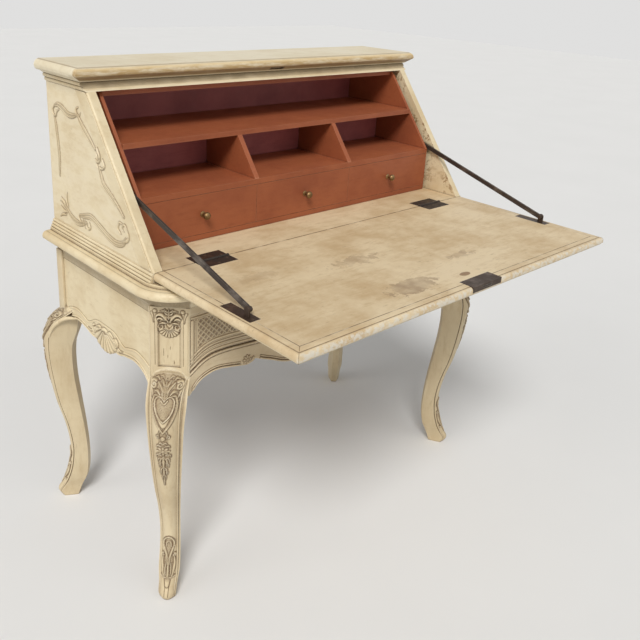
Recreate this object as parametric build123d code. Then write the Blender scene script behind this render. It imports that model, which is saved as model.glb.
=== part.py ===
from build123d import *
from collections import namedtuple
import math
import os

# Slant-front writing desk on cabriole legs, in millimetres, standing on the floor with its flap
# let down. X runs across the desk, Y from front to back, Z up. The origin is on the floor, in the
# middle of the room that the open desk takes.

# Heights, stacked from the floor
floor_to_waist = 672.0
waist_height = 53.0
desk_board_thickness = 20.0
slant_rise = 303.0
cornice_height = 18.0
top_thickness = 29.0

# Slant-front case
case_width = 960.0
case_side_thickness = 20.0
case_back_thickness = 10.0
hinge_depth = 411.0
slant_angle = 52.5
side_arris_radius = 4.0

# Top board and cornice
top_overhang = 13.0
nose_projection = 12.0
nose_lip = 3.0
nose_undercut = 0.6
nose_lap = 4.0
cornice_bead_projection = 5.0
rail_depth = 24.0
rail_band_sink = 2.0
rail_bead_height = 4.0

# Flap
flap_thickness = 17.0
flap_edge_radius = 4.0
lipping_width = 22.0
flap_top_gap = 2.2
flap_end_clearance = 1.9
flap_seat_gap = 0.6
hinge_gap = 0.6

# Waist and the reeds above it
waist_projection = 30.0
waist_corner_radius = 58.0
waist_front_rail = 73.0
waist_side_rail = 19.0
waist_back_rail = 20.0
reed_height = 18.0
reed_count = 3
reed_step = 2.5

# Lower case
lower_margin = 1.0
lower_depth = 449.0
post_cant = 53.0
post_flat = 4.0
rear_post_width = 40.0
rear_post_depth = 26.0
post_panel_width = 44.0
post_panel_low = 542.0
post_panel_margin = 26.0
post_panel_sink = 4.0
panel_thickness = 15.0
panel_setback = 3.0
border_relief = 2.5
bracket_height = 480.0
apron_rise = 41.0
back_panel_thickness = 12.0
back_panel_low = 500.0
back_panel_setback = 6.0
frieze_line_drop = 16.0
frieze_line_width = 2.0

# Shells carved on the aprons
shell_lobes = 7
shell_spread = 150.0
shell_radius = 58.0
shell_lobe_rise = 4.0
shell_relief = 4.0
shell_depth = 10.0
shell_hub_height = 70.0

# Frieze drawer in the lower case
drawer_rail_height = 16.0
drawer_rail_depth = 40.0
apron_thickness = 20.0
drawer_front_thickness = 20.0
drawer_front_setback = 2.0
frieze_gap = 1.5
frieze_box_clearance = 5.0
frieze_back_gap = 29.0
frieze_box_drop = 100.0
frieze_box_wall = 10.0
frieze_bottom_thickness = 6.0
runner_height = 18.0
runner_reach = 62.0
guide_height = 34.0
guide_width = 26.0

# Fitted interior
pocket_width = 13.0
lining_thickness = 7.0
interior_setback = 18.0
drawer_bed_thickness = 12.0
small_drawer_height = 88.0
floor_thickness = 12.0
pigeonhole_height = 85.0
shelf_thickness = 11.0
divider_thickness = 12.0
drawer_divider_thickness = 10.0
interior_depth = 181.0
interior_back_thickness = 8.0
fascia_height = 13.0
fascia_thickness = 10.0
bay_count = 3
drawer_gap = 0.8
small_front_thickness = 14.0
small_box_wall = 7.0
small_back_gap = 17.0
small_box_clearance = 1.0
small_bottom_thickness = 4.0
knob_radius = 8.5
knob_length = 22.0

# Hinges
hinge_inset = 115.0
hinge_length = 82.0
hinge_leaf_width = 33.0
hinge_leaf_thickness = 2.2
knuckle_radius = 3.2
knuckle_play = 0.4
hinge_pin_radius = 1.5
pin_play = 0.05

# Stays
stay_pivot_reach = 250.0
stay_pivot_height = 13.0
stay_rest_angle = 16.1
stay_length = 390.0
stay_width = 10.5
stay_thickness = 4.6
stay_pin_radius = 3.0
stay_head_radius = 4.4
stay_head_thickness = 1.8
bracket_length = 82.0
bracket_width = 24.0
bracket_plate_thickness = 2.5
bracket_ear_thickness = 3.0
bracket_ear_radius = 6.5
bracket_side_clearance = 1.0
stay_side_play = 0.3

# Lock
lock_place = 14.0
lock_width = 94.0
lock_depth = 33.0
lock_height = 12.0
bolt_width = 30.0
bolt_height = 5.0
bolt_length = 24.0
bolt_play = 0.3
bolt_throw = 8.0
strike_width = 44.0
strike_depth = 11.0
strike_thickness = 1.5

# Cabriole leg, as outlines at named heights. Height is a share of the leg's height, and the other
# values are shares of its width. Reach is how far the leg's face stands outside the corner of the
# lower case, measured along the diagonal.
leg_height = 540.0
leg_width = 80.0
LegStation = namedtuple("LegStation", "height reach depth width face")
leg_shares = [
    LegStation(height=0.000, reach=0.125, depth=0.575, width=0.425, face=0.300),
    LegStation(height=0.026, reach=0.212, depth=0.713, width=0.475, face=0.350),
    LegStation(height=0.063, reach=0.075, depth=0.675, width=0.500, face=0.362),
    LegStation(height=0.111, reach=-0.075, depth=0.675, width=0.575, face=0.388),
    LegStation(height=0.185, reach=-0.212, depth=0.613, width=0.562, face=0.375),
    LegStation(height=0.278, reach=-0.263, depth=0.562, width=0.550, face=0.362),
    LegStation(height=0.389, reach=-0.150, depth=0.613, width=0.588, face=0.400),
    LegStation(height=0.519, reach=0.100, depth=0.750, width=0.700, face=0.487),
    LegStation(height=0.667, reach=0.275, depth=0.812, width=0.825, face=0.575),
    LegStation(height=0.796, reach=0.350, depth=0.900, width=0.925, face=0.637),
    LegStation(height=0.880, reach=0.275, depth=1.000, width=1.012, face=0.675),
    LegStation(height=0.935, reach=0.050, depth=0.825, width=1.020, face=0.740),
    LegStation(height=0.972, reach=-0.240, depth=0.550, width=1.000, face=0.840),
    LegStation(height=1.000, reach=-0.500, depth=0.325, width=0.940, face=0.900),
]
leg_section_rise = 60.0
leg_crown = 0.34
leg_bead_step = 6.0
leg_back_share = 0.44
rear_leg_shift = 14.0

# Levels and planes worked out from the sizes above
half_case = case_width / 2
half_lower = half_case + lower_margin
case_inner = half_case - case_side_thickness
hinge_place = case_inner - hinge_inset
waist_top = floor_to_waist + waist_height
writing_z = waist_top + desk_board_thickness
side_top = writing_z + slant_rise
top_bottom = side_top + cornice_height
overall_height = top_bottom + top_thickness
slant = math.radians(slant_angle)
along_y = math.cos(slant)
along_z = math.sin(slant)
diagonal = math.sqrt(0.5)
flap_length = (top_bottom - flap_top_gap - writing_z) / along_z


leg_stations = [
    LegStation(share.height * leg_height, *(leg_width * value for value in share[1:]))
    for share in leg_shares
]


def station_slope(index, field):
    # Slope of one value of the leg at a named station, taken across its neighbours
    before = leg_stations[max(index - 1, 0)]
    after = leg_stations[min(index + 1, len(leg_stations) - 1)]
    return (getattr(after, field) - getattr(before, field)) / (after.height - before.height)


def station_at(height):
    # Smooth leg outline at any height between the named stations
    index = max(i for i, station in enumerate(leg_stations[:-1]) if station.height <= height)
    low, high = leg_stations[index], leg_stations[index + 1]
    rise = high.height - low.height
    share = (height - low.height) / rise
    values = []
    for field in LegStation._fields[1:]:
        start = getattr(low, field) + station_slope(index, field) * rise * share
        end = getattr(high, field) - station_slope(index + 1, field) * rise * (1 - share)
        blend = share * share * (3 - 2 * share)
        values.append(start * (1 - blend) + end * blend)
    return LegStation(height, *values)


def crown_circle(station):
    # Radius of the crowned face of a leg outline and the place of its centre on the diagonal
    rise = leg_crown * station.face
    radius = ((station.face / 2) ** 2 + rise ** 2) / (2 * rise)
    return radius, station.reach - radius


def station_overhang(station):
    # How far a rear leg's outline stands out behind the case, at its crown or at its flank
    radius, centre = crown_circle(station)
    crown = centre * diagonal + radius
    flank = station.reach - leg_crown * station.face - leg_bead_step + station.width / 2
    return max(crown, flank * diagonal) + rear_leg_shift * diagonal


def section_heights():
    # Heights of the leg's outlines: every named station, with more of them where these lie far apart
    heights = [leg_stations[0].height]
    for low, high in zip(leg_stations, leg_stations[1:]):
        rise = high.height - low.height
        steps = math.ceil(rise / leg_section_rise)
        heights += [low.height + rise * (step + 1) / steps for step in range(steps)]
    return heights


leg_heights = section_heights()
rear_overhang = max(station_overhang(station_at(height)) for height in leg_heights)
back_y = (hinge_depth + flap_length - rear_overhang) / 2
hinge_y = back_y - hinge_depth
front_y = back_y - lower_depth
flap_front_y = hinge_y - flap_length


def slant_y(z):
    # Depth of the plane that the closed flap's inner face lies in
    return hinge_y + (z - writing_z) * along_y / along_z


def interior_y(z):
    return slant_y(z) + interior_setback


bed_top = writing_z + drawer_bed_thickness
small_drawer_top = bed_top + small_drawer_height
floor_top = small_drawer_top + floor_thickness
shelf_bottom = floor_top + pigeonhole_height
shelf_top = shelf_bottom + shelf_thickness
interior_front = interior_y(floor_top)
interior_back = interior_front + interior_depth
lining_outer = case_inner - pocket_width
lining_inner = lining_outer - lining_thickness
bay_width = 2 * lining_inner / bay_count
case_back_front = back_y - case_back_thickness


def board(x, y, z):
    # Flat board from its low and high place on each axis
    size = [high - low for low, high in (x, y, z)]
    middle = [(high + low) / 2 for low, high in (x, y, z)]
    return Pos(*middle) * Box(*size)


def across(outline, x):
    # Outline drawn in Y and Z, carried across the desk from x[0] to x[1]
    return extrude(Plane.YZ.offset(x[0]) * make_face(outline), amount=x[1] - x[0])


def inward(outline, y):
    # Outline drawn in X and Z, carried from the back y[1] to the front y[0]
    return extrude(Plane.XZ.offset(-y[1]) * make_face(outline), amount=y[1] - y[0])


def ring(points):
    return Polyline(*points, close=True)


def rod(radius, x, y, z):
    # Round rod lying across the desk
    return Pos((x[0] + x[1]) / 2, y, z) * Rot(0, 90, 0) * Cylinder(radius, x[1] - x[0])


def mirrored(solid):
    return mirror(solid, about=Plane.YZ)


parts = {}


def keep_pair(name, left):
    parts[name + "_left"] = left
    parts[name + "_right"] = mirrored(left)


# Legs


def leg_outline(frame, station, shift):
    # Crowned face, a step at each bead, flanks that draw in and a narrow back
    face_edge = station.reach + shift - leg_crown * station.face
    flank = face_edge - leg_bead_step
    back = station.reach + shift - station.depth
    half_back = leg_back_share * station.width / 2

    def place(reach, side):
        return frame.from_local_coords(Vector(reach, side, station.height))

    def flank_edges(side):
        shoulder = place(flank, side * station.width / 2)
        return [
            Line(place(face_edge, side * station.face / 2), shoulder),
            Line(shoulder, place(back, side * half_back)),
        ]

    crown = ThreePointArc(
        place(face_edge, -station.face / 2),
        place(station.reach + shift, 0),
        place(face_edge, station.face / 2),
    )
    back_edge = Line(place(back, half_back), place(back, -half_back))
    return Wire([crown, *flank_edges(1), back_edge, *flank_edges(-1)])


def cabriole(corner, outward, shift):
    frame = Plane(origin=(*corner, 0), x_dir=(*outward, 0), z_dir=(0, 0, 1))
    outlines = [leg_outline(frame, station_at(height), shift) for height in leg_heights]
    return Solid.make_loft(outlines, ruled=True)


front_corner = (-half_lower, front_y)
rear_corner = (-half_lower, back_y)
front_outward = (-diagonal, -diagonal)
rear_outward = (-diagonal, diagonal)
post_size = post_cant + post_flat


def front_post():
    # Corner post with a canted face and a sunken panel in it
    x, y = front_corner
    outline = ring([
        (x, y + post_cant),
        (x + post_cant, y),
        (x + post_size, y),
        (x + post_size, y + post_size),
        (x, y + post_size),
    ])
    post = extrude(Pos(0, 0, bracket_height) * make_face(outline), amount=floor_to_waist - bracket_height)
    cant_middle = (x + post_cant / 2, y + post_cant / 2, (post_panel_low + post_panel_high) / 2)
    cant = Plane(origin=cant_middle, x_dir=(diagonal, -diagonal, 0), z_dir=(*front_outward, 0))
    sunk = Rectangle(post_panel_width, post_panel_high - post_panel_low)
    return post - extrude(cant * sunk, amount=-post_panel_sink)


def rear_post():
    x, y = rear_corner
    return board(
        (x, x + rear_post_width),
        (y - rear_post_depth, y),
        (bracket_height, floor_to_waist),
    )


def behind(x, y):
    # Room inside the lower case, to the right of x and between two depths
    return board((x, 0), y, (bracket_height, floor_to_waist))


def front_leg():
    # The carved knee stops where the apron, the drawer and the side panel meet the post
    x, y = front_corner
    middle = (front_y + back_y) / 2
    knee = cabriole(front_corner, front_outward, 0)
    knee -= behind(x + post_size, (y, middle))
    knee -= behind(x + panel_setback, (y + post_size, middle))
    return front_post() + knee


def rear_leg():
    x, y = rear_corner
    middle = (front_y + back_y) / 2
    knee = cabriole(rear_corner, rear_outward, rear_leg_shift)
    knee -= behind(x + rear_post_width, (middle, y - back_panel_setback))
    knee -= behind(x + panel_setback, (middle, y - rear_post_depth))
    return rear_post() + knee


post_panel_high = floor_to_waist - post_panel_margin
leg_front = front_leg()
leg_rear = rear_leg()
keep_pair("leg_front", leg_front)
keep_pair("leg_rear", leg_rear)

# Shaped aprons


def shell(face_plane):
    # Scallop shell in relief: a fan of lobes hanging from its hub
    def rim(step, radius):
        turn = math.radians(-90 + shell_spread * (step / shell_lobes - 0.5))
        return radius * math.cos(turn), radius * math.sin(turn)

    valley = shell_radius - shell_lobe_rise
    lobes = [
        ThreePointArc(rim(index, valley), rim(index + 0.5, shell_radius), rim(index + 1, valley))
        for index in range(shell_lobes)
    ]
    fan = make_face(lobes + [Polyline(lobes[-1] @ 1, (0, 0), lobes[0] @ 0)])
    return extrude(face_plane.offset(-shell_depth) * fan, amount=shell_depth + shell_relief)


side_low = front_y + post_size
side_high = back_y - rear_post_depth
side_middle = (side_low + side_high) / 2
side_half = (side_high - side_low) / 2


def apron_points(half, shares):
    # Points of a shaped edge, from shares of the half length and of the apron's rise
    return [(along * half, bracket_height + up * apron_rise) for along, up in shares]


# A bracket at each leg, an arch, then a dip beside the shell
side_edge = apron_points(side_half, [(1, 0), (0.88, 0.68), (0.68, 1), (0.45, 0.88), (0.3, 0.71)])
# Upper edge of the raised border, with a cusp either side of the shell
side_border = apron_points(side_half, [(1, 1.22), (0.68, 1.66), (0.41, 1.49)])


def turned(points, middle, side):
    return [(middle + side * distance, height) for distance, height in points]


def side_panel_outline():
    front_curve = Spline(*turned(side_edge, side_middle, -1))
    rear_curve = Spline(*turned(side_edge, side_middle, 1))
    return [
        front_curve,
        Line(front_curve @ 1, rear_curve @ 1),
        rear_curve,
        Polyline(rear_curve @ 0, (side_high, floor_to_waist), (side_low, floor_to_waist), front_curve @ 0),
    ]


def side_border_outline():
    crest = (side_middle, bracket_height + 1.9 * apron_rise)
    edges = []
    for side in (-1, 1):
        low_curve = Spline(*turned(side_edge, side_middle, side))
        high_curve = Spline(*turned(side_border, side_middle, side))
        edges += [low_curve, high_curve, Line(low_curve @ 0, high_curve @ 0)]
    rise = ThreePointArc(edges[1] @ 1, crest, edges[4] @ 1)
    return edges + [rise, Line(edges[0] @ 1, edges[3] @ 1)]


def lower_side():
    face_x = -half_lower + panel_setback
    field_x = face_x + border_relief
    panel = across(side_panel_outline(), (field_x, face_x + panel_thickness))
    border = across(side_border_outline(), (face_x, field_x))
    line_z = floor_to_waist - frieze_line_drop
    line = board(
        (face_x, field_x + frieze_line_width),
        (side_low, side_high),
        (line_z - frieze_line_width, line_z),
    )
    hub = (face_x, side_middle, bracket_height + shell_hub_height)
    carved = shell(Plane(origin=hub, x_dir=(0, -1, 0), z_dir=(-1, 0, 0)))
    return panel + border + carved - line


keep_pair("lower_side", lower_side())

parts["lower_back"] = board(
    (-half_lower + rear_post_width, half_lower - rear_post_width),
    (back_y - back_panel_setback - back_panel_thickness, back_y - back_panel_setback),
    (back_panel_low, floor_to_waist),
)

opening_half = half_lower - post_size
drawer_top = floor_to_waist - drawer_rail_height - frieze_gap
frieze_box_low = floor_to_waist - frieze_box_drop
apron_crest = apron_points(
    opening_half, [(1, 1.22), (0.91, 1.76), (0.8, 1.9), (0.55, 1.71), (0, 1.32)]
)
apron_bracket = apron_points(
    opening_half, [(1, 0), (0.943, 0.61), (0.854, 0.88), (0.74, 0.73), (0.646, 0.56)]
)
apron_swag = apron_points(opening_half, [(0.608, 0.76), (0.382, -0.2), (0, -0.54)])


def mirrored_spline(half_points):
    # Spline through points given from the right-hand end to the middle, and their mirror images
    left = [(-x, z) for x, z in half_points[:-1]]
    return Spline(*half_points, *reversed(left))


def crest_raised(gap):
    return mirrored_spline([(x, z + gap) for x, z in apron_crest])


def front_apron():
    crest = crest_raised(0)
    right = Spline(*apron_bracket)
    left = Spline(*[(-x, z) for x, z in reversed(apron_bracket)])
    drop = mirrored_spline(apron_swag)
    outline = [
        crest,
        Line(crest @ 0, right @ 0),
        right,
        Line(right @ 1, drop @ 0),
        drop,
        Line(drop @ 1, left @ 0),
        left,
        Line(left @ 1, crest @ 1),
    ]
    apron = inward(outline, (front_y, front_y + apron_thickness))
    hub = (0, front_y, bracket_height + shell_hub_height / 2)
    carved = shell(Plane(origin=hub, x_dir=(1, 0, 0), z_dir=(0, -1, 0)))
    return apron + carved


parts["front_apron"] = front_apron()

parts["drawer_rail"] = board(
    (-opening_half, opening_half),
    (front_y, front_y + drawer_rail_depth),
    (floor_to_waist - drawer_rail_height, floor_to_waist),
)


def drawer_runner():
    # Ledge under the frieze drawer's side, with a guide beside the drawer
    outer = -half_lower + panel_setback + panel_thickness
    box_side = -opening_half + frieze_box_clearance
    ledge_top = frieze_box_low - frieze_gap / 3
    guide_high = box_side - frieze_gap
    y = (side_low, side_high)
    ledge = board((outer, outer + runner_reach), y, (ledge_top - runner_height, ledge_top))
    guide = board((guide_high - guide_width, guide_high), y, (ledge_top, ledge_top + guide_height))
    return ledge + guide


keep_pair("drawer_runner", drawer_runner())

# Waist moulding and frame


def waist_profile(start):
    # Section of the moulding at the back of the left-hand side, facing forwards along its path
    out = waist_projection
    top = waist_height
    points = [
        (waist_side_rail, top),
        (-0.33 * out, top),
        (-0.33 * out, 0.87 * top),
        (-0.82 * out, 0.84 * top),
        (-out, 0.69 * top),
        (-0.7 * out, 0.33 * top),
        (0, 0),
        (waist_side_rail, 0),
    ]
    edges = [
        Polyline(points[0], points[1], points[2]),
        ThreePointArc(points[2], points[3], points[4]),
        ThreePointArc(points[4], points[5], points[6]),
        Polyline(points[6], points[7], points[0]),
    ]
    section = Plane(origin=start, x_dir=(1, 0, 0), z_dir=(0, -1, 0))
    return section * make_face(edges)


def waist_frame():
    radius = waist_corner_radius
    start = (-half_lower, back_y, floor_to_waist)
    path = FilletPolyline(
        start,
        (-half_lower, front_y, floor_to_waist),
        (half_lower, front_y, floor_to_waist),
        (half_lower, back_y, floor_to_waist),
        radius=radius,
    )
    moulding = sweep(waist_profile(start), path)
    z = (floor_to_waist, waist_top)
    front_board = board(
        (-half_lower + radius, half_lower - radius),
        (front_y, front_y + waist_front_rail),
        z,
    )
    corner_board = board(
        (-half_lower + waist_side_rail / 2, half_lower - waist_side_rail / 2),
        (front_y + radius, front_y + waist_front_rail),
        z,
    )
    inner = half_lower - waist_side_rail / 2
    back_rail = board((-inner, inner), (back_y - waist_back_rail, back_y), z)
    return moulding + front_board + corner_board + back_rail


parts["waist_frame"] = waist_frame()


def reeded_strip():
    # Reeds along the foot of the case side, each standing out past the one above
    height = reed_height / reed_count
    edges = []
    last = (-half_case, waist_top + reed_height)
    for index in range(reed_count):
        step = reed_step * (index + 1)
        crown = (-half_case - step - reed_step / 2, last[1] - height / 2)
        foot = (-half_case - step, last[1] - height)
        edges.append(ThreePointArc(last, crown, foot))
        last = foot
    edges.append(Polyline(last, (-half_case, waist_top), (-half_case, waist_top + reed_height)))
    return inward(edges, (hinge_y + hinge_gap, back_y))


keep_pair("reeds", reeded_strip())

# Slant-front case
stay_slot_start = interior_front + small_front_thickness


def desk_board():
    # Fixed writing board, cut back at both ends to leave the pockets for the stays open below
    outline = ring([
        (-case_inner, hinge_y + hinge_gap / 2),
        (case_inner, hinge_y + hinge_gap / 2),
        (case_inner, stay_slot_start),
        (lining_outer, stay_slot_start),
        (lining_outer, case_back_front),
        (-lining_outer, case_back_front),
        (-lining_outer, stay_slot_start),
        (-case_inner, stay_slot_start),
    ])
    plate = extrude(Pos(0, 0, waist_top) * make_face(outline), amount=desk_board_thickness)
    for side in (-1, 1):
        plate -= leaf_recess(side, 1)
    return plate


def leaf_recess(side, direction):
    # Seat of a hinge leaf, flush with the surface, with room for the knuckles at its edge
    x = (side * hinge_place - hinge_length / 2, side * hinge_place + hinge_length / 2)
    y = sorted([hinge_y, hinge_y + direction * hinge_leaf_width])
    seat = board(x, y, (writing_z - hinge_leaf_thickness, writing_z))
    room = (x[0] - knuckle_play, x[1] + knuckle_play)
    return seat + rod(knuckle_radius + knuckle_play, room, hinge_y, writing_z)


def case_side():
    front_foot = hinge_y + hinge_gap / 2
    outline = ring([
        (front_foot, waist_top),
        (front_foot, writing_z),
        (slant_y(writing_z) + flap_seat_gap / along_z, writing_z),
        (slant_y(side_top) + flap_seat_gap / along_z, side_top),
        (back_y, side_top),
        (back_y, waist_top),
    ])
    panel = across(outline, (-half_case, -case_inner))
    slanted = panel.edges().filter_by(lambda edge: abs(abs(edge.tangent_at(0.5).Z) - along_z) < 0.001)
    outer = slanted.sort_by(Axis.X)[0]
    return fillet(outer, side_arris_radius)


parts["desk_board"] = desk_board()
keep_pair("case_side", case_side())
parts["case_back"] = board(
    (-case_inner, case_inner),
    (case_back_front, back_y),
    (waist_top, top_bottom),
)


def cornice():
    # Front rail on the slant, with a bead along its foot, and a beaded return over each side
    foot = slant_y(side_top) + flap_seat_gap / along_z
    bead_top = side_top + rail_bead_height
    bead_y = slant_y(bead_top) + flap_seat_gap / along_z
    sunk = rail_band_sink / along_z
    head = slant_y(top_bottom) + flap_seat_gap / along_z + sunk
    back = head + rail_depth
    rail_outline = ring([
        (foot, side_top),
        (bead_y, bead_top),
        (bead_y + sunk, bead_top),
        (head, top_bottom),
        (back, top_bottom),
        (back, side_top),
    ])
    rail = across(rail_outline, (-half_case, half_case))
    bead = cornice_height / 2
    lower_bead = ThreePointArc(
        (-half_case, side_top),
        (-half_case - 0.8 * cornice_bead_projection, side_top + bead / 2),
        (-half_case - 0.2 * cornice_bead_projection, side_top + bead),
    )
    upper_bead = ThreePointArc(
        lower_bead @ 1,
        (-half_case - 1.4 * cornice_bead_projection, side_top + 1.5 * bead),
        (-half_case - 0.7 * cornice_bead_projection, top_bottom),
    )
    cap = Polyline(upper_bead @ 1, (-case_inner, top_bottom), (-case_inner, side_top), lower_bead @ 0)
    side_return = inward([lower_bead, upper_bead, cap], (back, back_y))
    front_return = inward([lower_bead, upper_bead, cap], (foot, back)) & across(
        rail_outline, (-half_case - 2 * cornice_bead_projection, half_case)
    )
    left = side_return + front_return
    return rail + left + mirrored(left)


parts["cornice"] = cornice()

flap_tip_y = hinge_y + flap_length * along_y - flap_thickness * along_z
nose_y = flap_tip_y - nose_lap
lip_y = nose_y + nose_undercut
lip_z = writing_z + (flap_length + flap_end_clearance - (lip_y - hinge_y) * along_y) / along_z
nose_z = lip_z + nose_lip


def nosing(edge, side):
    # Moulded edge of the top board: flat top, thumb, nose and a bevel that the flap's end meets
    drop = overall_height - nose_z
    arris = (edge - side * nose_projection, overall_height)
    shoulder = (edge - side * 0.25 * nose_projection, overall_height - 0.4 * drop)
    nose = (edge, nose_z)
    lip = (edge - side * nose_undercut, lip_z)
    run = (lip_z - top_bottom) * along_z / along_y
    foot = (lip[0] - side * run, top_bottom)
    return [
        ThreePointArc(arris, shoulder, nose),
        Line(nose, lip),
        Line(lip, foot),
    ], arris, foot


def top_board():
    # The front and the side mouldings meet in a mitre
    edges, arris, foot = nosing(nose_y, -1)
    close = Polyline(arris, (back_y, overall_height), (back_y, top_bottom), foot)
    half_nose = half_case + top_overhang + nose_projection
    lengthwise = across(edges + [close], (-half_nose, half_nose))
    left_edges, left_arris, left_foot = nosing(-half_nose, -1)
    right_edges, right_arris, right_foot = nosing(half_nose, 1)
    widthwise = inward(
        left_edges + right_edges + [Line(left_arris, right_arris), Line(left_foot, right_foot)],
        (nose_y - nose_projection, back_y),
    )
    return (lengthwise & widthwise) - strike_seat() - bolt_mortise()


bevel_run = (lip_z - top_bottom) / along_y
bevel_middle = (lock_place, lip_y + bevel_run * along_z / 2, lip_z - bevel_run * along_y / 2)
bevel_plane = Plane(origin=bevel_middle, x_dir=(1, 0, 0), z_dir=(0, -along_y, -along_z))


def strike_seat():
    return extrude(bevel_plane * Rectangle(strike_width, strike_depth), amount=-strike_thickness)


def bolt_mortise():
    slot = Rectangle(bolt_width + 2, bolt_height + 2)
    return extrude(bevel_plane * slot, amount=-strike_thickness - bolt_throw)


parts["top_board"] = top_board()
parts["lock_strike"] = strike_seat() - extrude(
    bevel_plane * Rectangle(bolt_width + 2, bolt_height + 2), amount=-strike_thickness
)

# Fitted interior


def lining():
    # Side of the fitted interior, upright beside the drawers and then following the slant
    outline = ring([
        (interior_front, writing_z),
        (interior_front, floor_top),
        (interior_y(side_top), side_top),
        (case_back_front, side_top),
        (case_back_front, writing_z),
    ])
    return across(outline, (-lining_outer, -lining_inner))


inside = (-lining_inner, lining_inner)
inner_depth = (interior_front, interior_back)
keep_pair("lining", lining())
parts["drawer_bed"] = board(inside, inner_depth, (writing_z, bed_top))
parts["pigeonhole_floor"] = board(inside, inner_depth, (small_drawer_top, floor_top))
parts["pigeonhole_back"] = board(
    inside,
    (interior_back, interior_back + interior_back_thickness),
    (writing_z, shelf_bottom),
)
parts["top_shelf"] = board(
    inside,
    (interior_y(shelf_bottom), case_back_front),
    (shelf_bottom, shelf_top),
)
parts["interior_fascia"] = board(
    inside,
    (interior_y(side_top), interior_y(side_top) + fascia_thickness),
    (side_top - fascia_height, side_top),
)


def pigeonhole_divider():
    outline = ring([
        (interior_front, floor_top),
        (interior_y(shelf_bottom), shelf_bottom),
        (interior_back, shelf_bottom),
        (interior_back, floor_top),
    ])
    middle = -bay_width / 2
    return across(outline, (middle - divider_thickness / 2, middle + divider_thickness / 2))


keep_pair("pigeonhole_divider", pigeonhole_divider())
keep_pair("drawer_divider", board(
    (-bay_width / 2 - drawer_divider_thickness / 2, -bay_width / 2 + drawer_divider_thickness / 2),
    (interior_front + small_front_thickness + drawer_gap, interior_back),
    (bed_top, small_drawer_top),
))


def drawer_box(x, y, z, wall, bottom):
    # Open box behind a drawer front
    outer = board(x, y, z)
    room = board(
        (x[0] + wall, x[1] - wall),
        (y[0] + wall, y[1] - wall),
        (z[0] + bottom, z[1] + bottom),
    )
    return outer - room


def knob(x, y, z):
    # Turned knob: rose, slim neck and head
    turned = Part()
    start = 0.0
    for radius, length in ((0.75, 0.1), (0.45, 0.4), (1.0, 0.5)):
        depth = length * knob_length
        turned += Pos(0, 0, start + depth / 2) * Cylinder(radius * knob_radius, depth)
        start += depth
    return Pos(x, y, z) * Rot(90, 0, 0) * turned


bay_names = ["left", "middle", "right"]
small_low = bed_top + drawer_gap
small_high = small_drawer_top - drawer_gap
front_back = interior_front + small_front_thickness
for index, bay in enumerate(bay_names):
    bay_middle = (index - (bay_count - 1) / 2) * bay_width
    half_front = bay_width / 2 - drawer_gap / 2
    half_box = bay_width / 2 - drawer_divider_thickness / 2 - small_box_clearance
    parts["small_drawer_front_" + bay] = board(
        (bay_middle - half_front, bay_middle + half_front),
        (interior_front, front_back),
        (small_low, small_high),
    )
    parts["small_drawer_box_" + bay] = drawer_box(
        (bay_middle - half_box, bay_middle + half_box),
        (front_back, interior_back - small_back_gap),
        (bed_top + drawer_gap / 2, small_high - 3 * small_box_clearance),
        small_box_wall,
        small_bottom_thickness,
    )
    parts["small_drawer_knob_" + bay] = knob(bay_middle, interior_front, (small_low + small_high) / 2)

# Frieze drawer


def frieze_front():
    lower = crest_raised(frieze_gap)
    half = opening_half - frieze_gap
    y = (front_y + drawer_front_setback, front_y + drawer_front_setback + drawer_front_thickness)
    outline = [
        lower,
        Polyline(lower @ 1, (-opening_half, drawer_top), (opening_half, drawer_top), lower @ 0),
    ]
    return inward(outline, y) & board((-half, half), y, (0, overall_height))


frieze_front_back = front_y + drawer_front_setback + drawer_front_thickness
half_frieze_box = opening_half - frieze_box_clearance
parts["frieze_drawer_front"] = frieze_front()
parts["frieze_drawer_box"] = drawer_box(
    (-half_frieze_box, half_frieze_box),
    (frieze_front_back, back_y - back_panel_setback - back_panel_thickness - frieze_back_gap),
    (frieze_box_low, drawer_top - frieze_gap),
    frieze_box_wall,
    frieze_bottom_thickness,
)

# Flap, lying open. Its inner face is up.
flap_low = writing_z - flap_thickness
flap_z = (flap_low, writing_z)
flap_back = hinge_y - hinge_gap / 2
field_half = half_case - lipping_width
field_front = flap_front_y + lipping_width
pin_y = hinge_y - stay_pivot_reach
pin_z = writing_z + stay_pivot_height
ear_outer = -case_inner + bracket_side_clearance
ear_inner = ear_outer + bracket_ear_thickness
stay_outer = ear_inner + stay_side_play
stay_inner = stay_outer + stay_thickness
bracket_middle = ear_inner


def bracket_plate():
    x = (bracket_middle - bracket_width / 2, bracket_middle + bracket_width / 2)
    y = (pin_y - bracket_length / 4, pin_y + 0.75 * bracket_length)
    return board(x, y, (writing_z - bracket_plate_thickness, writing_z))


def lock_body():
    return board(
        (lock_place - lock_width / 2, lock_place + lock_width / 2),
        (flap_front_y, flap_front_y + lock_depth),
        (writing_z - lock_height, writing_z),
    )


def bolt_way(play):
    middle = writing_z - lock_height / 2
    return board(
        (lock_place - bolt_width / 2 - play, lock_place + bolt_width / 2 + play),
        (flap_front_y, flap_front_y + bolt_length + play),
        (middle - bolt_height / 2 - play, middle + bolt_height / 2 + play),
    )


def flap_seats():
    # Everything let into the inner face of the flap
    plate = bracket_plate()
    seats = plate + mirrored(plate) + lock_body()
    for side in (-1, 1):
        seats += leaf_recess(side, -1)
    return seats


def side_lipping():
    # Lipping along an end of the flap, mitred at the front corner
    outline = ring([
        (-half_case, flap_back),
        (-half_case, flap_front_y),
        (-field_half, field_front),
        (-field_half, flap_back),
    ])
    strip = extrude(Pos(0, 0, flap_low) * make_face(outline), amount=flap_thickness)
    outer = strip.edges().filter_by(Axis.Y).group_by(Axis.X)[0]
    return fillet(outer, flap_edge_radius) - bracket_plate()


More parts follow.
